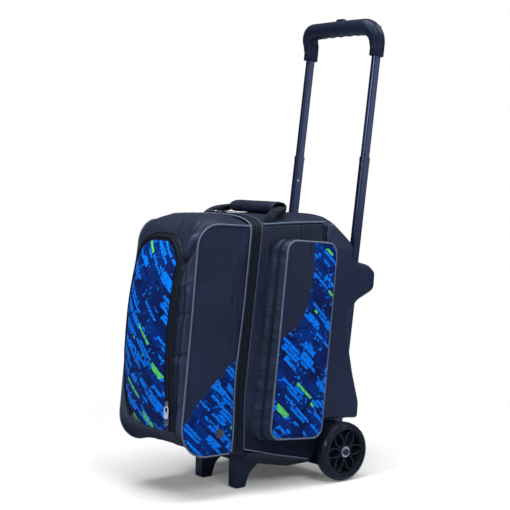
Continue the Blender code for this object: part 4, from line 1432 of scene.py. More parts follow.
@dataclass
class BallTower(Assembly):
    """Padded compartment of the two balls: side and top panels with their piping."""

    outline: Corners = (
        (0.226, 0.557, 0.02), (0.281, 0.503, 0.03), (0.2285, 0.1), (0.1885, 0.097), (0.1885, 0.053),
        (0.16, 0.0505), (0.0693, 0.0734), (-0.0153, 0.0972))
    ridge: Corners = ((0.0339, 0.557), (0.226, 0.557, 0.02), (0.281, 0.503, 0.012), (0.2745, 0.455))
    wall: float = 0.003

    def build(self) -> None:
        """Build both sides, the top and the seams."""
        for hand in Hand:
            self.side(hand)
        self.top()
        self.piping("tower_zip_piping", arch(1.0, 0.0012), 0.0019, self.finish.shaded, "bag")

    def side(self, hand: Hand) -> None:
        """Build one side panel with its two pipings and the binding along the guard.

        Args:
            hand: Side of the bag.
        """
        seam = [(eased(BAG_SEAM, h), h) for h in (0.0985, 0.15, 0.2, 0.25, 0.3, 0.35, 0.4, 0.45, 0.5, 0.5565)]
        place = on_side(hand)

        def height(share: float, spot: Point) -> float:
            """Swell and fold the panel, less and less under the guard.

            Args:
                share: Share of the way to the edge.
                spot: Place on the side.

            Returns:
                Height in metres.
            """
            room = held((0.172 + 0.082 * (spot[1] - 0.13) - spot[0]) / 0.03)
            where = Vector((hand.value, spot[0] - 0.11 * spot[1], spot[1]))
            fold = ripple(where, (14.0, 58.0, 8.0), 3.7 * hand.value)
            swell = 0.006 * (1.0 - share ** 3) + 0.0062 * (1.0 - share ** 6) * fold
            return 0.0012 * (1.0 - share ** 6) * (1.0 - room) + swell * room

        panel = self.panel(hand.named("tower_side"), rounded(seam + list(self.outline)), (0.1, 0.3), place,
                           height, CORE)
        self.mount(panel, self.finish.nylon, "bag", Slot.NAVY, [hand.named("side_panel")], 0.45, self.wall)
        for stem, run in (("tower_top_piping", ((0.036, 0.5595), (0.12, 0.5605), (0.205, 0.5585))),
                          ("tower_foot_piping", ((-0.015, 0.096), (0.0693, 0.0726), (0.1594, 0.05)))):
            path = [place(p.x, p.y, 0.0012) for p in evenly(run, 0.004)]
            self.piping(hand.named(stem), path, 0.0017, self.finish.piping, "bag")
        edge = evenly(((0.1705, 0.132), (0.2065, 0.553)), 0.006)
        rows = [[place(p.x + aside, p.y, out) for p in edge]
                for aside, out in ((-0.0055, 0.0016), (-0.003, 0.003), (0.003, 0.003), (0.0055, 0.0016))]
        binding = self.lattice(hand.named("guard_binding"), rows, CORE)
        self.mount(binding, self.finish.webbing, "bag", Slot.NAVY, wall=0.0012)

    def top(self) -> None:
        """Build the crowned top, which runs down behind the shoulder."""
        line = evenly(rounded(self.ridge), 0.005)
        rows = []
        for index, here in enumerate(line):
            out = left_of(line, index)
            rise = CROWN * (1.0 - (index / (len(line) - 1.0)) ** 4)
            row = []
            for column in range(49):
                x = HALF * sin(pi / 2.0 * (column / 24.0 - 1.0))
                wave = 0.0011 * crown(x) * ripple(Vector((x, here.x, 0.0)), (22.0, 60.0, 1.0), 8.1)
                spot = here + out * (rise * crown(x) + wave)
                row.append(point(x, spot.x, spot.y))
            rows.append(row)
        top = self.lattice("tower_top", rows, CORE)
        self.mount(top, self.finish.navy, "bag", Slot.NAVY, ["top_panel"], 0.5, self.wall)


@dataclass
class MainZip(Assembly):
    """Zip round the mouth of the bag: two tapes, the coil and its sliders."""

    lifts: tuple[float, ...] = (0.0002, 0.0011, 0.0013, 0.0008)

    def build(self) -> None:
        """Build both tapes, the coil and the sliders with their pulls."""
        for name, shares, body in (("door_tape", (0.0, 0.16, 0.33, 0.45), "door"),
                                   ("tower_tape", (1.0, 0.84, 0.67, 0.55), "bag")):
            rows = [arch(share, lift) for share, lift in zip(shares, self.lifts)]
            tape = self.lattice(name, rows, HEART)
            self.mount(tape, self.finish.tape, body, Slot.NAVY, wall=0.001)
        coil = self.cord("main_coil", arch(0.5, 0.001, COIL), beaded(0.0026, 0.0021), False, 6, 0.75)
        self.mount(coil, self.finish.coil, "bag", Slot.PLASTIC, ["main_zip_coil"])
        smith = Smith()
        for hand in Hand:
            slider, pull = smith.slider(hand.named("zip_slider")), smith.pull(hand.named("zip_pull"), 0.036)
            for piece, stem, finish, spot in (
                    (slider, "main_slider", self.finish.gunmetal, (0.0092, 0.0195, 0.579)),
                    (pull, "main_pull", self.finish.nickel, (0.0185, 0.02, 0.5829))):
                smith.seat(piece, point(hand.value * spot[0], *spot[1:]), -hand.out, UP)
                self.mount(piece, finish, hand.named(stem), Slot.STEEL, [hand.named(stem)])


@dataclass
class ShoeDoor(Assembly):
    """Shoe compartment that folds down: two side panels and a pouch lofted round the front."""

    shell: Piece | None = None
    wall: float = 0.003
    reach: float = HALF - 0.007
    folds: tuple[Crease, ...] = (
        Crease((0.093, 0.13), (0.095, 0.44), 0.005, -0.004),
        Crease((0.1045, 0.16), (0.105, 0.43), 0.0045, 0.003),
        Crease((0.088, 0.526), (0.085, 0.484), 0.0034, -0.005),
        Crease((0.085, 0.484), (0.108, 0.53), 0.004, -0.0095),
        Crease((0.09, 0.514), (0.096, 0.532), 0.0062, 0.01),
        Crease((0.108, 0.452), (0.09, 0.442), 0.004, 0.003),
        Crease((0.11, 0.388), (0.096, 0.382), 0.0032, -0.0034),
        Crease((0.11, 0.306), (0.093, 0.299), 0.0026, -0.0044),
        Crease((0.11, 0.292), (0.093, 0.288), 0.0046, 0.003),
        Crease((0.11, 0.204), (0.092, 0.19), 0.005, -0.0026))

    def path(self) -> list[Vector]:
        """Return the edge of the side panels from the bottom seam round the front to the top seam."""
        corners = ((-0.048, 0.0922), (*DOOR_LOW, 0.06), (*DOOR_HIGH, 0.048), (0.0051, 0.5568))
        return evenly(rounded(corners, 9), 0.0042)

    def build(self) -> None:
        """Build the pouch, both sides, the seam and the liner."""
        self.pouch()
        for hand in Hand:
            self.side(hand)
        self.piping("door_zip_piping", arch(0.0, 0.0012), 0.0019, self.finish.piping, "door")
        self.liner()

    def rise(self, here: Vector) -> float:
        """Return how far the pouch stands out in the middle.

        Args:
            here: Point of the path round the door.

        Returns:
            Rise in metres.
        """
        up = (DOOR_HIGH - DOOR_LOW).normalized()
        along = (here - DOOR_LOW).dot(up)
        behind = (here - DOOR_LOW).dot(Vector((up.y, -up.x)))
        front = eased(POUCH, along)
        if along < 0.1:
            return front * max(0.0, 1.0 - behind / 0.095) ** 0.7
        over = held((along - 0.44) / 0.035)
        return front * (1.0 - over) + over * (0.005 + (CROWN - 0.005) * smooth(behind / 0.075))

    def pouch(self) -> None:
        """Loft the pouch under, up the front and over the top of the door."""
        line = self.path()
        rows, folds = [], []
        for index, here in enumerate(line):
            out = left_of(line, index)
            rise = self.rise(here)
            ends = min(1.0, index / 6.0, (len(line) - 1 - index) / 6.0)
            row = []
            for column in range(65):
                across = sin(pi / 2.0 * (column / 32.0 - 1.0))
                x = across * (HALF - drawn_in(here.x, here.y, across))
                lens = 1.0 - abs(across) ** 3
                over = 0.8 * held((here.y - 0.54) / 0.012) if here.y > 0.3 else 0.35
                free = max(over, held((abs(x) - 0.084) / 0.01) * (1.0 if x > 0.0 else 0.4))
                crease = ripple(Vector((x + 0.3 * here.x, here.x, here.y)), (15.0, 19.0, 13.0), 1.3)
                pulled = sum(fold.lift((x, here.y)) for fold in self.folds) if x > 0.0 and out.y < 0.8 else 0.0
                spot = here + out * (rise * lens + (0.006 * crease * free + pulled) * ends * lens ** 0.35)
                # Painted fold shade per vertex: valleys darken and ridges lighten the cloth's colour.
                folds.append((0.9 * crease * free + pulled / 0.0045) * ends)
                row.append(point(x, spot.x, spot.y))
            rows.append(row)
        self.shell = self.lattice("door_pouch", rows, point(0.0, -0.05, 0.33))
        self.rub(self.shell, folds)
        self.mount(self.shell, self.finish.nylon, "door", Slot.NAVY,
                   ["door_front", "door_bottom", "door_top"], 0.55, self.wall)

    def side(self, hand: Hand) -> None:
        """Build one side panel, its printed corner and its piping.

        Args:
            hand: Side of the bag.
        """
        seam = [(eased(DOOR_SEAM, h), h) for h in (0.53, 0.49, 0.45, 0.4, 0.35, 0.3, 0.25, 0.2, 0.15, 0.11)]
        path = [tuple(p) for p in self.path()]

        def height(share: float, spot: Point) -> float:
            """Return the swell and folds of the panel."""
            fold = ripple(Vector((hand.value, *spot)), (10.0, 30.0, 16.0), 2.4 * hand.value)
            return 0.0065 * (1.0 - share ** 3) + 0.0032 * (1.0 - share ** 6) * fold

        panel = self.panel(hand.named("door_panel"), path + seam, (-0.075, 0.33), on_door(hand), height, HEART)
        self.mount(panel, self.finish.navy, "door", Slot.NAVY, [hand.named("door_side")], 0.5, self.wall)
        self.corner(hand, path, Drape(panel).side(hand, self.reach))
        loop = [on_door(hand)(*p, 0.0013) for p in path[1:-1]]
        self.piping(hand.named("door_piping"), loop, 0.0019, self.finish.piping, "door")

    def corner(self, hand: Hand, path: Sequence[Point], drape: Place) -> None:
        """Lay the printed corner on one side panel, with its stitching and the badge.

        Args:
            hand: Side of the bag.
            path: Edge of the panel.
            drape: Place on the panel of (depth, height, out).
        """
        upper = [(-0.032, 0.29), (-0.0648, 0.2664), (-0.1002, 0.2344), (-0.1314, 0.2025), (-0.164, 0.1615)]
        lower = [(p[0] + 0.0012, p[1] + 0.001) for p in path if p[1] < 0.16][::-1]
        rear = [(eased(DOOR_SEAM, h) - 0.0008, h) for h in (0.1, 0.13, 0.16, 0.19, 0.22, 0.25, 0.275)]
        cloth = self.panel(hand.named("door_print"), upper + lower + rear, (-0.085, 0.16), drape, laid(12),
                           HEART, 20)
        self.mount(cloth, self.finish.print, "door", Slot.PRINT, (), 0.4, 0.0009)
        if hand is Hand.RIGHT:
            self.badge(Drape(cloth).side(hand, self.reach))
        seam = evenly([(p[0] + 0.0012, p[1] - 0.0022) for p in upper], 0.003)
        stitch = self.cord(hand.named("door_stitch"), [drape(p.x, p.y, 0.0011) for p in seam],
                           beaded(0.00045, 0.00075), False, 6)
        self.mount(stitch, self.finish.thread, "door", Slot.PRINT)

    def badge(self, place: Place) -> None:
        """Press a plain metal disc through the printed corner.

        Args:
            place: Place on the printed cloth of (depth, height, out).
        """
        smith = Smith()
        disc = smith.stud("badge_disc", 0.01, 0.002, 0.001)
        smith.seat(disc, place(-0.078, 0.137, -0.0004), UP, Hand.RIGHT.out)
        self.mount(disc, self.finish.pewter, "door", Slot.STEEL, ["side_badge"])

    def liner(self) -> None:
        """Hang the liner across the mouth of the door."""
        rows = []
        for step in range(25):
            height = 0.101 + 0.446 * step / 24.0
            depth = eased(DOOR_SEAM, height) - 0.012
            sag = 0.006 * sin(pi * step / 24.0)
            row = []
            for column in range(25):
                across = column / 12.0 - 1.0
                fold = 1.0 + 0.4 * ripple(Vector((column * 0.01, 0.0, height)), (30.0, 1.0, 16.0), 5.0)
                row.append(point(0.1125 * across, depth - sag * (1.0 - across ** 2) * fold, height))
            rows.append(row)
        liner = self.lattice("door_lining", rows, Vector((0.0, -0.3, 0.3)))
        self.mount(liner, self.finish.nylon, "door", Slot.NAVY, ["door_liner"], 0.2, 0.0022)


@dataclass
class ShoeFlap(Assembly):
    """Printed front of the shoe compartment, zipped round an inverted U."""

    shell: Piece
    side: float = 0.0708
    low: float = 0.055
    high: float = 0.436
    radius: float = 0.054
    heel: float = 0.07
    coil: float = 0.0075

    def build(self) -> None:
        """Build the flap, the zip round it and its slider."""
        place = Drape(self.shell).front()
        inside = point(0.0, 0.0, 0.33)
        upper = ((self.side, self.high, self.radius), (-self.side, self.high, self.radius))
        foot = (-self.side, self.low, self.heel)

        def height(share: float, spot: Point) -> float:
            """Return the swell and folds of the flap."""
            fold = ripple(Vector((spot[0], 0.0, spot[1])), (16.0, 1.0, 12.0), 4.4)
            return 0.0026 + 0.0035 * (1.0 - share ** 5) + 0.0012 * (1.0 - share ** 5) * fold

        outline = rounded((foot, (self.side, self.low, 0.014), *upper), 9)
        flap = self.panel("shoe_flap_print", outline, (0.0, 0.248), place, height, inside, 30)
        self.mount(flap, self.finish.print, "shoe_flap", Slot.PRINT, ["shoe_flap"], 0.45, 0.0022)
        legs = rounded(((self.side, self.low), *upper, foot, (0.0, self.low)), 12)
        legs = [p for p in legs if p[0] > 0.0 or p[1] > self.low + 0.016]
        run = evenly(legs, 0.004)
        section = ((-0.002, 0.0012), (0.004, 0.0017), (0.008, 0.0019), (0.012, 0.0017), (0.0165, 0.0005))
        rows = [[place(p.x, p.y, lift) for p in beside(run, -reach)] for reach, lift in section]
        tape = self.lattice("shoe_zip_tape", rows, inside)
        self.mount(tape, self.finish.tape, "door", Slot.NAVY, wall=0.001)
        fine = [place(p.x, p.y, 0.0024) for p in beside(evenly(legs, COIL), -self.coil)]
        coil = self.cord("shoe_coil", fine, beaded(0.0023, 0.0018), False, 6, 0.8)
        self.mount(coil, self.finish.coil, "door", Slot.PLASTIC)
        welt = [place(p.x, p.y, 0.001) for p in beside(run, -0.017)]
        self.piping("shoe_zip_welt", welt, 0.0015, self.finish.edging, "door")
        self.hardware(place)

    def hardware(self, place: Place) -> None:
        """Build the slider near the foot of the zip, with its two linked pulls.

        Args:
            place: Place on the door's front of (across, along, out).
        """
        smith = Smith()
        reach, along = self.side + self.coil, 0.1115
        foot = place(reach, along, 0.0)
        up = (place(reach, along + 0.004, 0.0) - place(reach, along - 0.004, 0.0)).normalized()
        out = (place(reach + 0.003, along, 0.0) - place(reach - 0.003, along, 0.0)).cross(up).normalized()
        slider = smith.seat(smith.slider("flap_slider"), foot + out * 0.003, up, out)
        self.mount(slider, self.finish.gunmetal, "shoe_slider", Slot.STEEL, ["shoe_slider"])
        pin = foot + out * 0.0072 - up * 0.0098
        lean = (up + Vector((0.14, 0.0, 0.0))).normalized()
        first = smith.seat(smith.pull("flap_pull", 0.027, 0.0118), pin, lean, out)
        self.mount(first, self.finish.nickel, "shoe_pull", Slot.STEEL, ["shoe_pull"])
        link = pin - lean * 0.016 - out * 0.0022
        second = smith.seat(smith.pull("flap_pull_link", 0.025, 0.0104), link, up - out * 0.06, out)
        self.mount(second, self.finish.gunmetal, "shoe_pull", Slot.STEEL)


@dataclass
class SidePocket(Assembly):
    """Accessory pocket on one side: a sloping gusset with a zip and a padded lid."""

    hand: Hand
    base: Corners = ((-0.002, 0.116, 0.02), (0.057, 0.5245, 0.024), (0.208, 0.517, 0.024), (0.165, 0.1, 0.024))
    cover: Corners = (
        (0.0235, 0.117, 0.024), (0.0735, 0.5275, 0.024), (0.2075, 0.514, 0.024), (0.1625, 0.1025, 0.024))
    deep: float = 0.0385
    seam: float = 0.0008
    edge: float = 0.0012
    middle: Point = (0.11, 0.32)
    lid_middle: Point = (0.115, 0.32)
    arc: int = 6
    straight: int = 24

    def ring(self, corners: Corners) -> list[Vector]:
        """Return an outline whose points match those of the other rings.

        Args:
            corners: Corners with a radius.

        Returns:
            Points of the closed outline.
        """
        points = [Vector(p) for p in rounded(corners, self.arc)]
        dense = []
        for index, here in enumerate(points):
            after = points[(index + 1) % len(points)]
            parts = self.straight if index % (self.arc + 1) == self.arc else 1
            dense += [here.lerp(after, k / parts) for k in range(parts)]
        return dense

    def heart(self) -> Vector:
        """Return the middle of the pocket's hollow."""
        return point(self.hand.value * 0.14, *self.middle)

    def build(self) -> None:
        """Build the gusset, its zip, the lid and its piping."""
        place = on_side(self.hand)
        base, lid = self.ring(self.base), self.ring(self.cover)
        rows = []
        for step in range(25):
            share = step / 24.0
            pinch = -0.0034 * exp(-((share - 0.55) / 0.12) ** 2) + 0.0036 * sin(pi * share)
            loose = min(1.0, abs(share - 0.55) / 0.2) * sin(pi * share)
            row = []
            for a, b in zip(base, lid):
                spot = a.lerp(b, share)
                away = (spot - Vector(self.middle)).normalized()
                fold = ripple(Vector((share * 0.1, spot.x, spot.y)), (40.0, 46.0, 30.0), 7.7 * self.hand.value)
                spot = spot + away * (pinch + 0.0036 * fold * loose)
                row.append(place(spot.x, spot.y, self.seam + self.deep * share))
            rows.append(row)
        gusset = self.lattice(self.hand.named("pocket_bellows"), rows, self.heart(), True)
        self.mount(gusset, self.finish.gusset, "bag", Slot.NAVY, [self.hand.named("pocket_gusset")], 0.3,
                   0.0022)
        self.zip(base, lid, place)
        self.lid(place)

    def zip(self, base: Line, lid: Line, place: Place) -> None:
        """Build the coil and tape along the bottom, front and top of the gusset.

        Args:
            base: Outline on the bag's side.
            lid: Outline of the lid.
            place: Place on the side of (depth, height, out).
        """
        start, end = len(base) - self.straight, 3 * len(base) // 4 - self.straight // 2
        numbers = [(start + k) % len(base) for k in range(len(base) - start + end)]

        def line(share: float, lift: float) -> list[Vector]:
            """Return a line round the gusset at a share of its depth, lifted off it."""
            flat = [base[i].lerp(lid[i], share) for i in numbers]
            return [place(p.x, p.y, self.seam + self.deep * share) + self.away(p, lift) for p in flat]

        rows = [line(share, 0.0012) for share in (0.36, 0.46, 0.64, 0.74)]
        tape = self.lattice(self.hand.named("pocket_tape"), rows, self.heart())
        self.mount(tape, self.finish.tape, "bag", Slot.NAVY, wall=0.001)
        coil = self.cord(self.hand.named("pocket_coil"), evenly(line(0.55, 0.0018), COIL),
                         beaded(0.0022, 0.0017), False, 6, 0.8)
        self.mount(coil, self.finish.coil, "bag", Slot.PLASTIC)

    def away(self, spot: Vector, distance: float) -> Vector:
        """Return a step away from the middle of the pocket, in the plane of the side."""
        step = (spot - Vector(self.middle)).normalized() * distance
        return Vector((0.0, step.x, step.y))

    def lid(self, place: Place) -> None:
        """Build the lid: dark cloth, the printed corner laid on it and the piping.

        Args:
            place: Place on the side of (depth, height, out).
        """
        outline = [tuple(p) for p in self.ring(self.cover)]
        body = self.hand.named("pocket_lid")

        def height(share: float, spot: Point) -> float:
            """Return the swell and folds of the lid."""
            fold = ripple(Vector((self.hand.value, *spot)), (10.0, 22.0, 13.0), 9.1 * self.hand.value)
            return self.deep + self.edge + 0.0055 * (1.0 - share ** 4) + 0.0018 * (1.0 - share ** 5) * fold

        cloth = self.panel(self.hand.named("lid_cloth"), outline, self.lid_middle, place, height, HEART)
        self.mount(cloth, self.finish.navy, body, Slot.NAVY, [body], 0.45, 0.0026)
        drape = Drape(cloth).side(self.hand, HALF + self.deep)
        corner = self.panel(self.hand.named("lid_print"), self.print_edge(outline), (0.15, 0.25), drape,
                            laid(14), HEART, 24)
        self.mount(corner, self.finish.print, body, Slot.PRINT, (), 0.4, 0.0009)
        loop = [place(*p, self.deep + self.edge) for p in outline]
        self.piping(self.hand.named("lid_piping"), loop, 0.002, self.finish.piping, body, True)

    def print_edge(self, outline: Sequence[Point]) -> list[Point]:
        """Draw the printed corner: a curve across the lid, then round inside its edge.

        Args:
            outline: Outline of the lid.

        Returns:
            Points of the closed outline.
        """
        curve = []
        for step in range(19):
            turn = pi / 2.0 * step / 18.0
            curve.append((0.055 + 0.0875 * boxed(max(0.0, cos(turn)), 0.909),
                          0.525 - 0.192 * boxed(sin(turn), 0.909)))
        curve = [p for p in curve if p[0] > 0.06 and p[1] < 0.5185]
        rim = [p for p in map(self.inset, outline) if not (p[0] < 0.144 and p[1] > 0.334)]
        first = min(range(len(rim)), key=lambda i: (rim[i][0] - 0.06) ** 2 + (rim[i][1] - 0.332) ** 2)
        return [(0.143, 0.52)] + curve + rim[first::-1] + rim[:first:-1]

    def inset(self, spot: Point) -> Point:
        """Return a spot of the outline moved in from the piping."""
        step = (Vector(self.lid_middle) - Vector(spot)).normalized() * 0.0012
        return (spot[0] + step.x, spot[1] + step.y)


@dataclass
class CarryHandle(Assembly):
    """Grab handle on top: two webbing straps and a padded wrap."""

    half: float = 0.0145
    wrap: float = 0.0745
    bar: Point = (0.118, 0.5885)
    route: Corners = (
        (0.1095, 0.062, 0.565), (0.1082, 0.066, 0.5745), (0.1035, 0.084, 0.5855), (0.0925, 0.106, 0.59),
        (0.0735, 0.1165, 0.5895), (0.0, 0.118, 0.5885))

    def build(self) -> None:
        """Build the strap and the wrap."""
        self.strap()
        self.sleeve()

    def strap(self) -> None:
        """Loft the webbing from one foot over the bar to the other."""
        curves = [[(k, spot[axis]) for k, spot in enumerate(self.route)] for axis in range(3)]
        keys = [u / 10.0 for u in range(10 * (len(self.route) - 1) + 1)]
        right = [Vector([eased(curve, key) for curve in curves]) for key in keys]
        rows = []
        for p in right + [Vector((-p.x, p.y, p.z)) for p in right[-2::-1]]:
            full = exp(-((abs(p.x) - 0.0985) / 0.01) ** 2)
            wall = 0.0058 + 0.0085 * full
            section = [(k, 0.003 - 0.0016 * k * k) for k in (-1.0, -0.7, 0.0, 0.7, 1.0)]
            section += [(k, 0.003 - wall) for k in (0.96, 0.5, -0.5, -0.96)]
            rows.append([point(p.x, p.y + self.half * k, max(p.z + up, 0.56)) for k, up in section])
        strap = self.lattice("grab_strap", rows, None, True, True)
        self.mount(strap, self.finish.webbing, "grab_handle", Slot.NAVY, ["grab_webbing"])

    def sleeve(self) -> None:
        """Roll the padded wrap round the bar, with its edge lapped."""
        rows = []
        for step in range(45):
            x = self.wrap * (step / 22.0 - 1.0)
            swell = 0.91 + 0.09 * sqrt(held((self.wrap - abs(x)) / 0.007))
            row = []
            for k in range(61):
                turn = -2.45 + tau * 1.16 * k / 60.0
                wide, tall = 0.0222 * boxed(cos(turn), 0.85), 0.0142 * boxed(sin(turn), 0.85)
                fold = 1.0 + 0.075 * ripple(Vector((x, wide, tall)), (46.0, 50.0, 50.0), 2.2)
                size = swell * fold * (0.9 + 0.13 * k / 60.0)
                low = 0.78 if tall < 0.0 else 1.0
                row.append(point(x, self.bar[0] + wide * size, self.bar[1] + tall * size * low))
            rows.append(row)
        wrap = self.lattice("grab_sleeve", rows, point(0.0, *self.bar))
        self.mount(wrap, self.finish.nylon, "grab_handle", Slot.NAVY, ["grab_wrap"], 0.7, 0.0028)


@dataclass
class Padding(Assembly):
    """Foam inside the ball compartment: a shelf and a cup for each ball."""

    half: float = 0.1142
    front: float = 0.012
    back: float = 0.2493
    under: float = 0.2852
    edge: Corners = (
        (0.0, 0.2875), (0.0, 0.2925), (0.0022, 0.295), (0.008, 0.2957), (0.05, 0.296), (0.1, 0.296))
    cup: Corners = (
        (0.045, 0.0), (0.078, 0.0), (0.0785, 0.3), (0.077, 0.6), (0.073, 0.85), (0.066, 0.97), (0.06, 0.9),
        (0.055, 0.68), (0.049, 0.4))

    def build(self) -> None:
        """Build the shelf and both cups."""
        rings = []
        for inset, height in self.edge:
            side, front, back = self.half - inset, self.front + inset, self.back - inset
            corners = ((-side, front, 0.018), (side, front, 0.018), (side, back, 0.004), (-side, back, 0.004))
            rings.append([point(*p, height) for p in rounded(corners, 6)])
        below = [[Vector((p.x, p.y, self.under)) for p in ring] for ring in (rings[-1], rings[2])]
        shelf = self.lattice("shelf_pad", below + rings, None, True, True)
        self.mount(shelf, self.finish.foam, "bag", Slot.FOAM, ["ball_shelf"], 0.9)
        for stem, depth in (("lower", 0.095), ("upper", 0.142)):
            rows = []
            for step in range(48):
                turn = pi * step / 24.0
                row = []
                for r, h in self.cup:
                    away = depth + r * cos(turn)
                    seat = max(0.032, 0.06 - 0.217 * (away - 0.002)) + 0.004 if stem == "lower" else 0.2965
                    row.append(point(r * sin(turn), away, seat + 0.0012 + 0.02 * h))
                rows.append(row)
            cup = self.lattice(f"cup_pad_{stem}", rows + [rows[0]], None, True)
            self.merge(cup)
            self.mount(cup, self.finish.foam, "bag", Slot.FOAM, [f"ball_cup_{stem}"], 0.95)


@dataclass
class PullHandle(Assembly):
    """Telescoping handle: tubes, brackets, grip and release."""

    spread: float = 0.1107
    bend: float = 0.027
    lean: float = radians(8.2)
    foot: Point = (0.246, 0.112)
    dented: float = 0.072

    def build(self) -> None:
        """Dress the handle's hard pieces and build its grip and fittings."""
        for hand in Hand:
            tubes = map(hand.named, ("outer_tube", "middle_tube", "upper_tube"))
            self.dress(self.finish.enamel, Slot.TUBE, *tubes)
            self.dress(self.finish.enamel, Slot.PLASTIC, hand.named("tube_collar"))
            self.dress(self.finish.steel, Slot.STEEL, hand.named("push_rod"))
        self.grip()
        self.dress(self.finish.plastic, Slot.PLASTIC, "back_board", "tube_bracket_lower", "tube_bracket_upper")
        self.dress(self.finish.steel, Slot.STEEL, "release_yoke")
        self.fittings()

    def turned(self, x: float, deep: float, up: float) -> Vector:
        """Return a step of (across, depth, length) in the handle's own frame."""
        return Vector((x, deep * cos(self.lean) + up * sin(self.lean),
                       up * cos(self.lean) - deep * sin(self.lean)))

    def on_tube(self, x: float, deep: float, up: float) -> Vector:
        """Return the place of (across, depth, length) in the handle's own frame."""
        return point(0.0, *self.foot) + self.turned(x, deep, up)

    def bar(self) -> list[Vector]:
        """Draw the grip's centre line from the right socket round the bar to the left one.

        Returns:
            Points as (across, length).
        """
        line = [(self.spread, 0.814), (self.spread, 0.83), (self.spread, 0.846)]
        for step in range(1, 13):
            angle = pi / 2.0 * step / 12.0
            line.append((self.spread - self.bend * (1.0 - cos(angle)), 0.85 + self.bend * sin(angle)))
        rise = 0.002 * self.bend / (self.spread - self.bend)
        end = line[-1]
        line += [(end[0] * (1.0 - k / 30.0), end[1] + rise * k / 30.0) for k in range(1, 31)]
        return [Vector(p) for p in line + [(-x, up) for x, up in line[-2::-1]]]

    def grip(self) -> None:
        """Loft the grip along its centre line, with finger scallops below, and build the release."""
        line = self.bar()
        rows = []
        for index, (x, up) in enumerate(line):
            away = -left_of(line, index)
            share = smooth((up - 0.826) / 0.04)
            tall, deep = 0.0118 + 0.0064 * share, 0.0158 + 0.0034 * share
            ahead = -0.016 * held((up - 0.836) / 0.04) ** 1.3
            dent = 0.0019 * abs(sin(2.5 * pi * x / self.dented)) if abs(x) < self.dented else 0.0
            power = 0.62 + 0.3 * share
            row = []
            for k in range(36):
                spin = tau * k / 36.0
                side, face = boxed(cos(spin), power), boxed(sin(spin), power)
                reach = tall * side + (dent * abs(side) if side < 0.0 else 0.0)
                row.append(self.on_tube(x + away.x * reach, deep * face + ahead, up + away.y * reach))
            rows.append(row)
        smith = Smith()
        button = smith.key("release_key", (0.027, 0.013, 0.008))
        smith.seat(button, self.on_tube(0.0, -0.016, 0.8925), self.turned(0.0, 1.0, 0.0),
                   self.turned(0.0, 0.0, 1.0))
        self.mount(button, self.finish.grip, "handle_release", Slot.PLASTIC, ["release_button"])
        shell = self.lattice("grip_shell", rows, None, True, True)
        self.mount(shell, self.finish.grip, "handle_top", Slot.PLASTIC, ["grip_front", "grip_rear"])

    def fittings(self) -> None:
        """Build the screws of the grip and the spring buttons of the tubes."""
        smith = Smith()
        run, front = self.turned(0.0, 0.0, 1.0), self.turned(0.0, -1.0, 0.0)
        for hand in Hand:
            x = hand.value * self.spread
            screw = smith.stud(hand.named("grip_screw"), 0.0032, 0.0014, 0.0008)
            smith.seat(screw, self.on_tube(x, -0.016, 0.83), run, front)
            self.mount(screw, self.finish.gunmetal, "handle_top", Slot.STEEL)
            button = smith.stud(hand.named("spring_button"), 0.0026, 0.0009, 0.0003)
            smith.seat(button, self.on_tube(x - hand.value * 0.0063, -0.002, 0.534), run, -hand.out)
            self.mount(button, self.finish.steel, "handle_middle", Slot.STEEL)


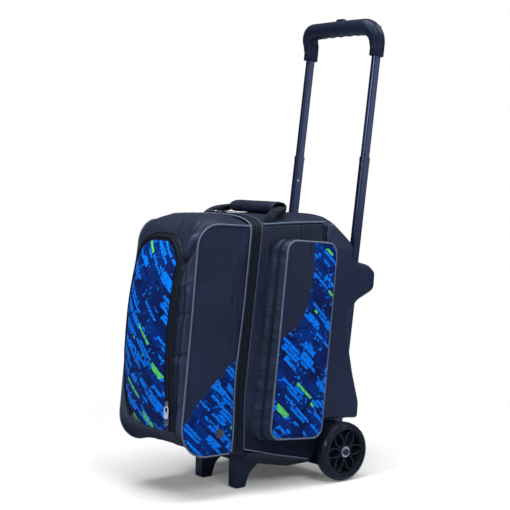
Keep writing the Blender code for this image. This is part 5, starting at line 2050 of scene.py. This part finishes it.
@dataclass
class Undercarriage(Assembly):
    """Moulded base, feet, guards and wheels."""

    edge: Corners = (
        (0.1772, 0.129, 0.006), (0.2112, 0.5545, 0.008), (0.229, 0.561, 0.016), (0.281, 0.5065, 0.014),
        (0.2825, 0.472, 0.016), (0.3265, 0.4602, 0.02), (0.345, 0.444, 0.014), (0.342, 0.4042, 0.02),
        (0.289, 0.382, 0.036), (0.2648, 0.345, 0.034), (0.2675, 0.29, 0.12), (0.2805, 0.224, 0.12),
        (0.2978, 0.16, 0.05), (0.295, 0.1232, 0.007), (0.266, 0.1268, 0.004))
    hook: Corners = (
        (0.327, 0.4575), (0.337, 0.451), (0.3415, 0.442), (0.3405, 0.424), (0.3385, 0.409), (0.33, 0.403))
    heel: Corners = ((0.2925, 0.174), (0.2945, 0.155), (0.2925, 0.1265))

    def build(self) -> None:
        """Dress the base, and build the guards and the wheels."""
        self.dress(self.finish.plastic, Slot.PLASTIC, "base_tray", "axle_beam")
        self.dress(self.finish.steel, Slot.STEEL, "axle")
        for hand in Hand:
            self.dress(self.finish.plastic, Slot.PLASTIC, hand.named("front_foot"))
            self.dress(self.finish.tyre, Slot.TYRE, hand.named("tyre"))
            self.dress(self.finish.gunmetal, Slot.STEEL, hand.named("axle_bolt"), hand.named("wheel_bushing"))
            self.guard(hand)
            self.wheel(hand)

    def wheel(self, hand: Hand) -> None:
        """Build one rim with the ring and the cap of its hub.

        Args:
            hand: Side of the bag.
        """
        smith, body = Smith(), hand.named("wheel")
        rim = smith.rim(hand.named("spoked_rim"))
        ring = smith.stud(hand.named("hub_ring"), 0.0114, 0.0018, 0.0012)
        cap = smith.stud(hand.named("hub_cap"), 0.0076, 0.0012, 0.0007)
        for piece, reach in ((rim, 0.1515), (ring, 0.1642), (cap, 0.1677)):
            smith.seat(piece, point(hand.value * reach, *AXLE), UP, hand.out)
        self.mount(rim, self.finish.rim, body, Slot.RIM, [hand.named("rim")])
        self.mount(ring, self.finish.steel, body, Slot.STEEL)
        self.mount(cap, self.finish.rim, "bag", Slot.PLASTIC)

    def guard(self, hand: Hand) -> None:
        """Mould the outer face of one side guard, rolled at its edge and bent in at the shoulder.

        Args:
            hand: Side of the bag.
        """
        outline = rounded(self.edge, 10)
        edge = evenly(outline, 0.0004, True)
        tree = KDTree(len(edge))
        for index, p in enumerate(edge):
            tree.insert((p.x, p.y, 0.0), index)
        tree.balance()

        def height(share: float, spot: Point) -> float:
            """Roll the face from its edge and bend it in at the shoulder.

            Args:
                share: Share of the way to the edge.
                spot: Place on the side.

            Returns:
                Height in metres.
            """
            near = tree.find((*spot, 0.0))[2] if share < 1.0 else 0.0
            roll = min(1.0, near / 0.007)
            bend = 0.015 * min(1.1, max(0.0, (spot[1] - 0.486) / 0.072)) ** 2
            return 0.0024 + 0.0118 * sqrt(roll * (2.0 - roll)) - bend

        place = on_side(hand)
        face = self.panel(hand.named("guard_face"), outline, (0.222, 0.372), place, height, CORE, 22, 2.2)
        self.mount(face, self.finish.guard, "bag", Slot.PLASTIC, [hand.named("side_guard")], wall=0.0022)
        for stem, path, reach in (("guard_hook", self.hook, -0.0195), ("guard_heel", self.heel, -0.0155)):
            line = evenly(path, 0.003)
            rows = [[place(p.x, p.y, out) for p in line] for out in (reach, reach * 0.5, 0.0, 0.006)]
            strip = self.lattice(hand.named(stem), rows, point(0.0, 0.27, 0.3))
            self.mount(strip, self.finish.guard, "bag", Slot.PLASTIC, wall=0.0035)


@dataclass
class Studio:
    """Pale floor, soft lights and the photograph's camera."""

    place: Triple = (2.2484, -1.76349, 0.7191)
    azimuth: float = 51.71
    pitch: float = 4.68
    lens: float = 93.4

    def build(self) -> None:
        """Set the stage."""
        self.floor()
        self.world()
        self.lamp("top_light", (0.1, -0.4, 2.8), (0.0, 0.0, 0.3), 2.0, 86.0)
        self.lamp("key_light", (0.5, -3.1, 1.9), (0.0, 0.0, 0.35), 1.0, 50.0)
        self.lamp("side_light", (2.5, 1.95, 0.95), (0.0, 0.0, 0.7), 0.95, 8.0)
        self.lamp("fill_light", (2.4, -0.6, 2.2), (0.0, 0.0, 0.45), 1.0, 43.0)
        self.lamp("back_light", (0.95, 1.6, 2.2), (0.1, 0.1, 0.5), 1.2, 26.0)
        self.camera()

    def floor(self) -> None:
        """Lay the floor."""
        clear()
        bpy.ops.mesh.primitive_plane_add(size=60.0, location=(0.0, 0.0, -0.0005))
        floor = bpy.context.object
        floor.name = "studio_floor"
        floor.data.materials.append(PaleFloor("pale_floor").material())

    def world(self) -> None:
        """Set a white surround to the camera and a soft grey one to the light."""
        world = bpy.data.worlds.new("surround")
        bpy.context.scene.world = world
        world.use_nodes = True
        nodes, links = world.node_tree.nodes, world.node_tree.links
        seen = nodes.new("ShaderNodeLightPath")
        soft = nodes["Background"]
        soft.inputs["Color"].default_value = (0.92, 0.95, 1.0, 1.0)
        soft.inputs["Strength"].default_value = 0.13
        white = nodes.new("ShaderNodeBackground")
        white.inputs["Color"].default_value = (1.0, 1.0, 1.0, 1.0)
        mixed = nodes.new("ShaderNodeMixShader")
        for number, output in enumerate((seen.outputs["Is Camera Ray"], soft.outputs[0], white.outputs[0])):
            links.new(output, mixed.inputs[number])
        links.new(mixed.outputs[0], nodes["World Output"].inputs[0])

    def lamp(self, name: str, at: Triple, target: Triple, size: float, power: float) -> None:
        """Hang a square soft light.

        Args:
            name: Name of the light.
            at: Place.
            target: Point that it faces.
            size: Edge length.
            power: Power in watts.
        """
        light = bpy.data.lights.new(name, "AREA")
        light.size = size
        light.energy = power
        lamp = bpy.data.objects.new(name, light)
        lamp.location = at
        lamp.rotation_euler = (Vector(target) - Vector(at)).to_track_quat("-Z", "Y").to_euler()
        bpy.context.scene.collection.objects.link(lamp)

    def camera(self) -> None:
        """Stand the camera where the photograph was taken."""
        lens = bpy.data.cameras.new("photo_camera")
        lens.lens = self.lens
        lens.sensor_width = 36.0
        camera = bpy.data.objects.new("photo_camera", lens)
        camera.location = self.place
        turn, tilt = radians(self.azimuth), radians(self.pitch)
        ahead = Vector((-sin(turn) * cos(tilt), cos(turn) * cos(tilt), -sin(tilt)))
        camera.rotation_euler = ahead.to_track_quat("-Z", "Y").to_euler()
        bpy.context.scene.collection.objects.link(camera)
        bpy.context.scene.camera = camera


def main() -> None:
    """Build the bag piece by piece."""
    logging.basicConfig(level=logging.INFO, format="%(message)s")
    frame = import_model()
    bpy.context.scene.view_settings.view_transform = "Standard"
    nodes = {o.name: o for o in bpy.data.objects if o.type == "MESH"}
    finish = Finishes()
    BallTower(nodes, finish).build()
    MainZip(nodes, finish).build()
    door = ShoeDoor(nodes, finish)
    door.build()
    ShoeFlap(nodes, finish, door.shell).build()
    for hand in Hand:
        SidePocket(nodes, finish, hand).build()
    CarryHandle(nodes, finish).build()
    Padding(nodes, finish).build()
    PullHandle(nodes, finish).build()
    Undercarriage(nodes, finish).build()
    Studio().build()
    LOG.info("frame %s", frame)


if __name__ == "__main__":
    main()
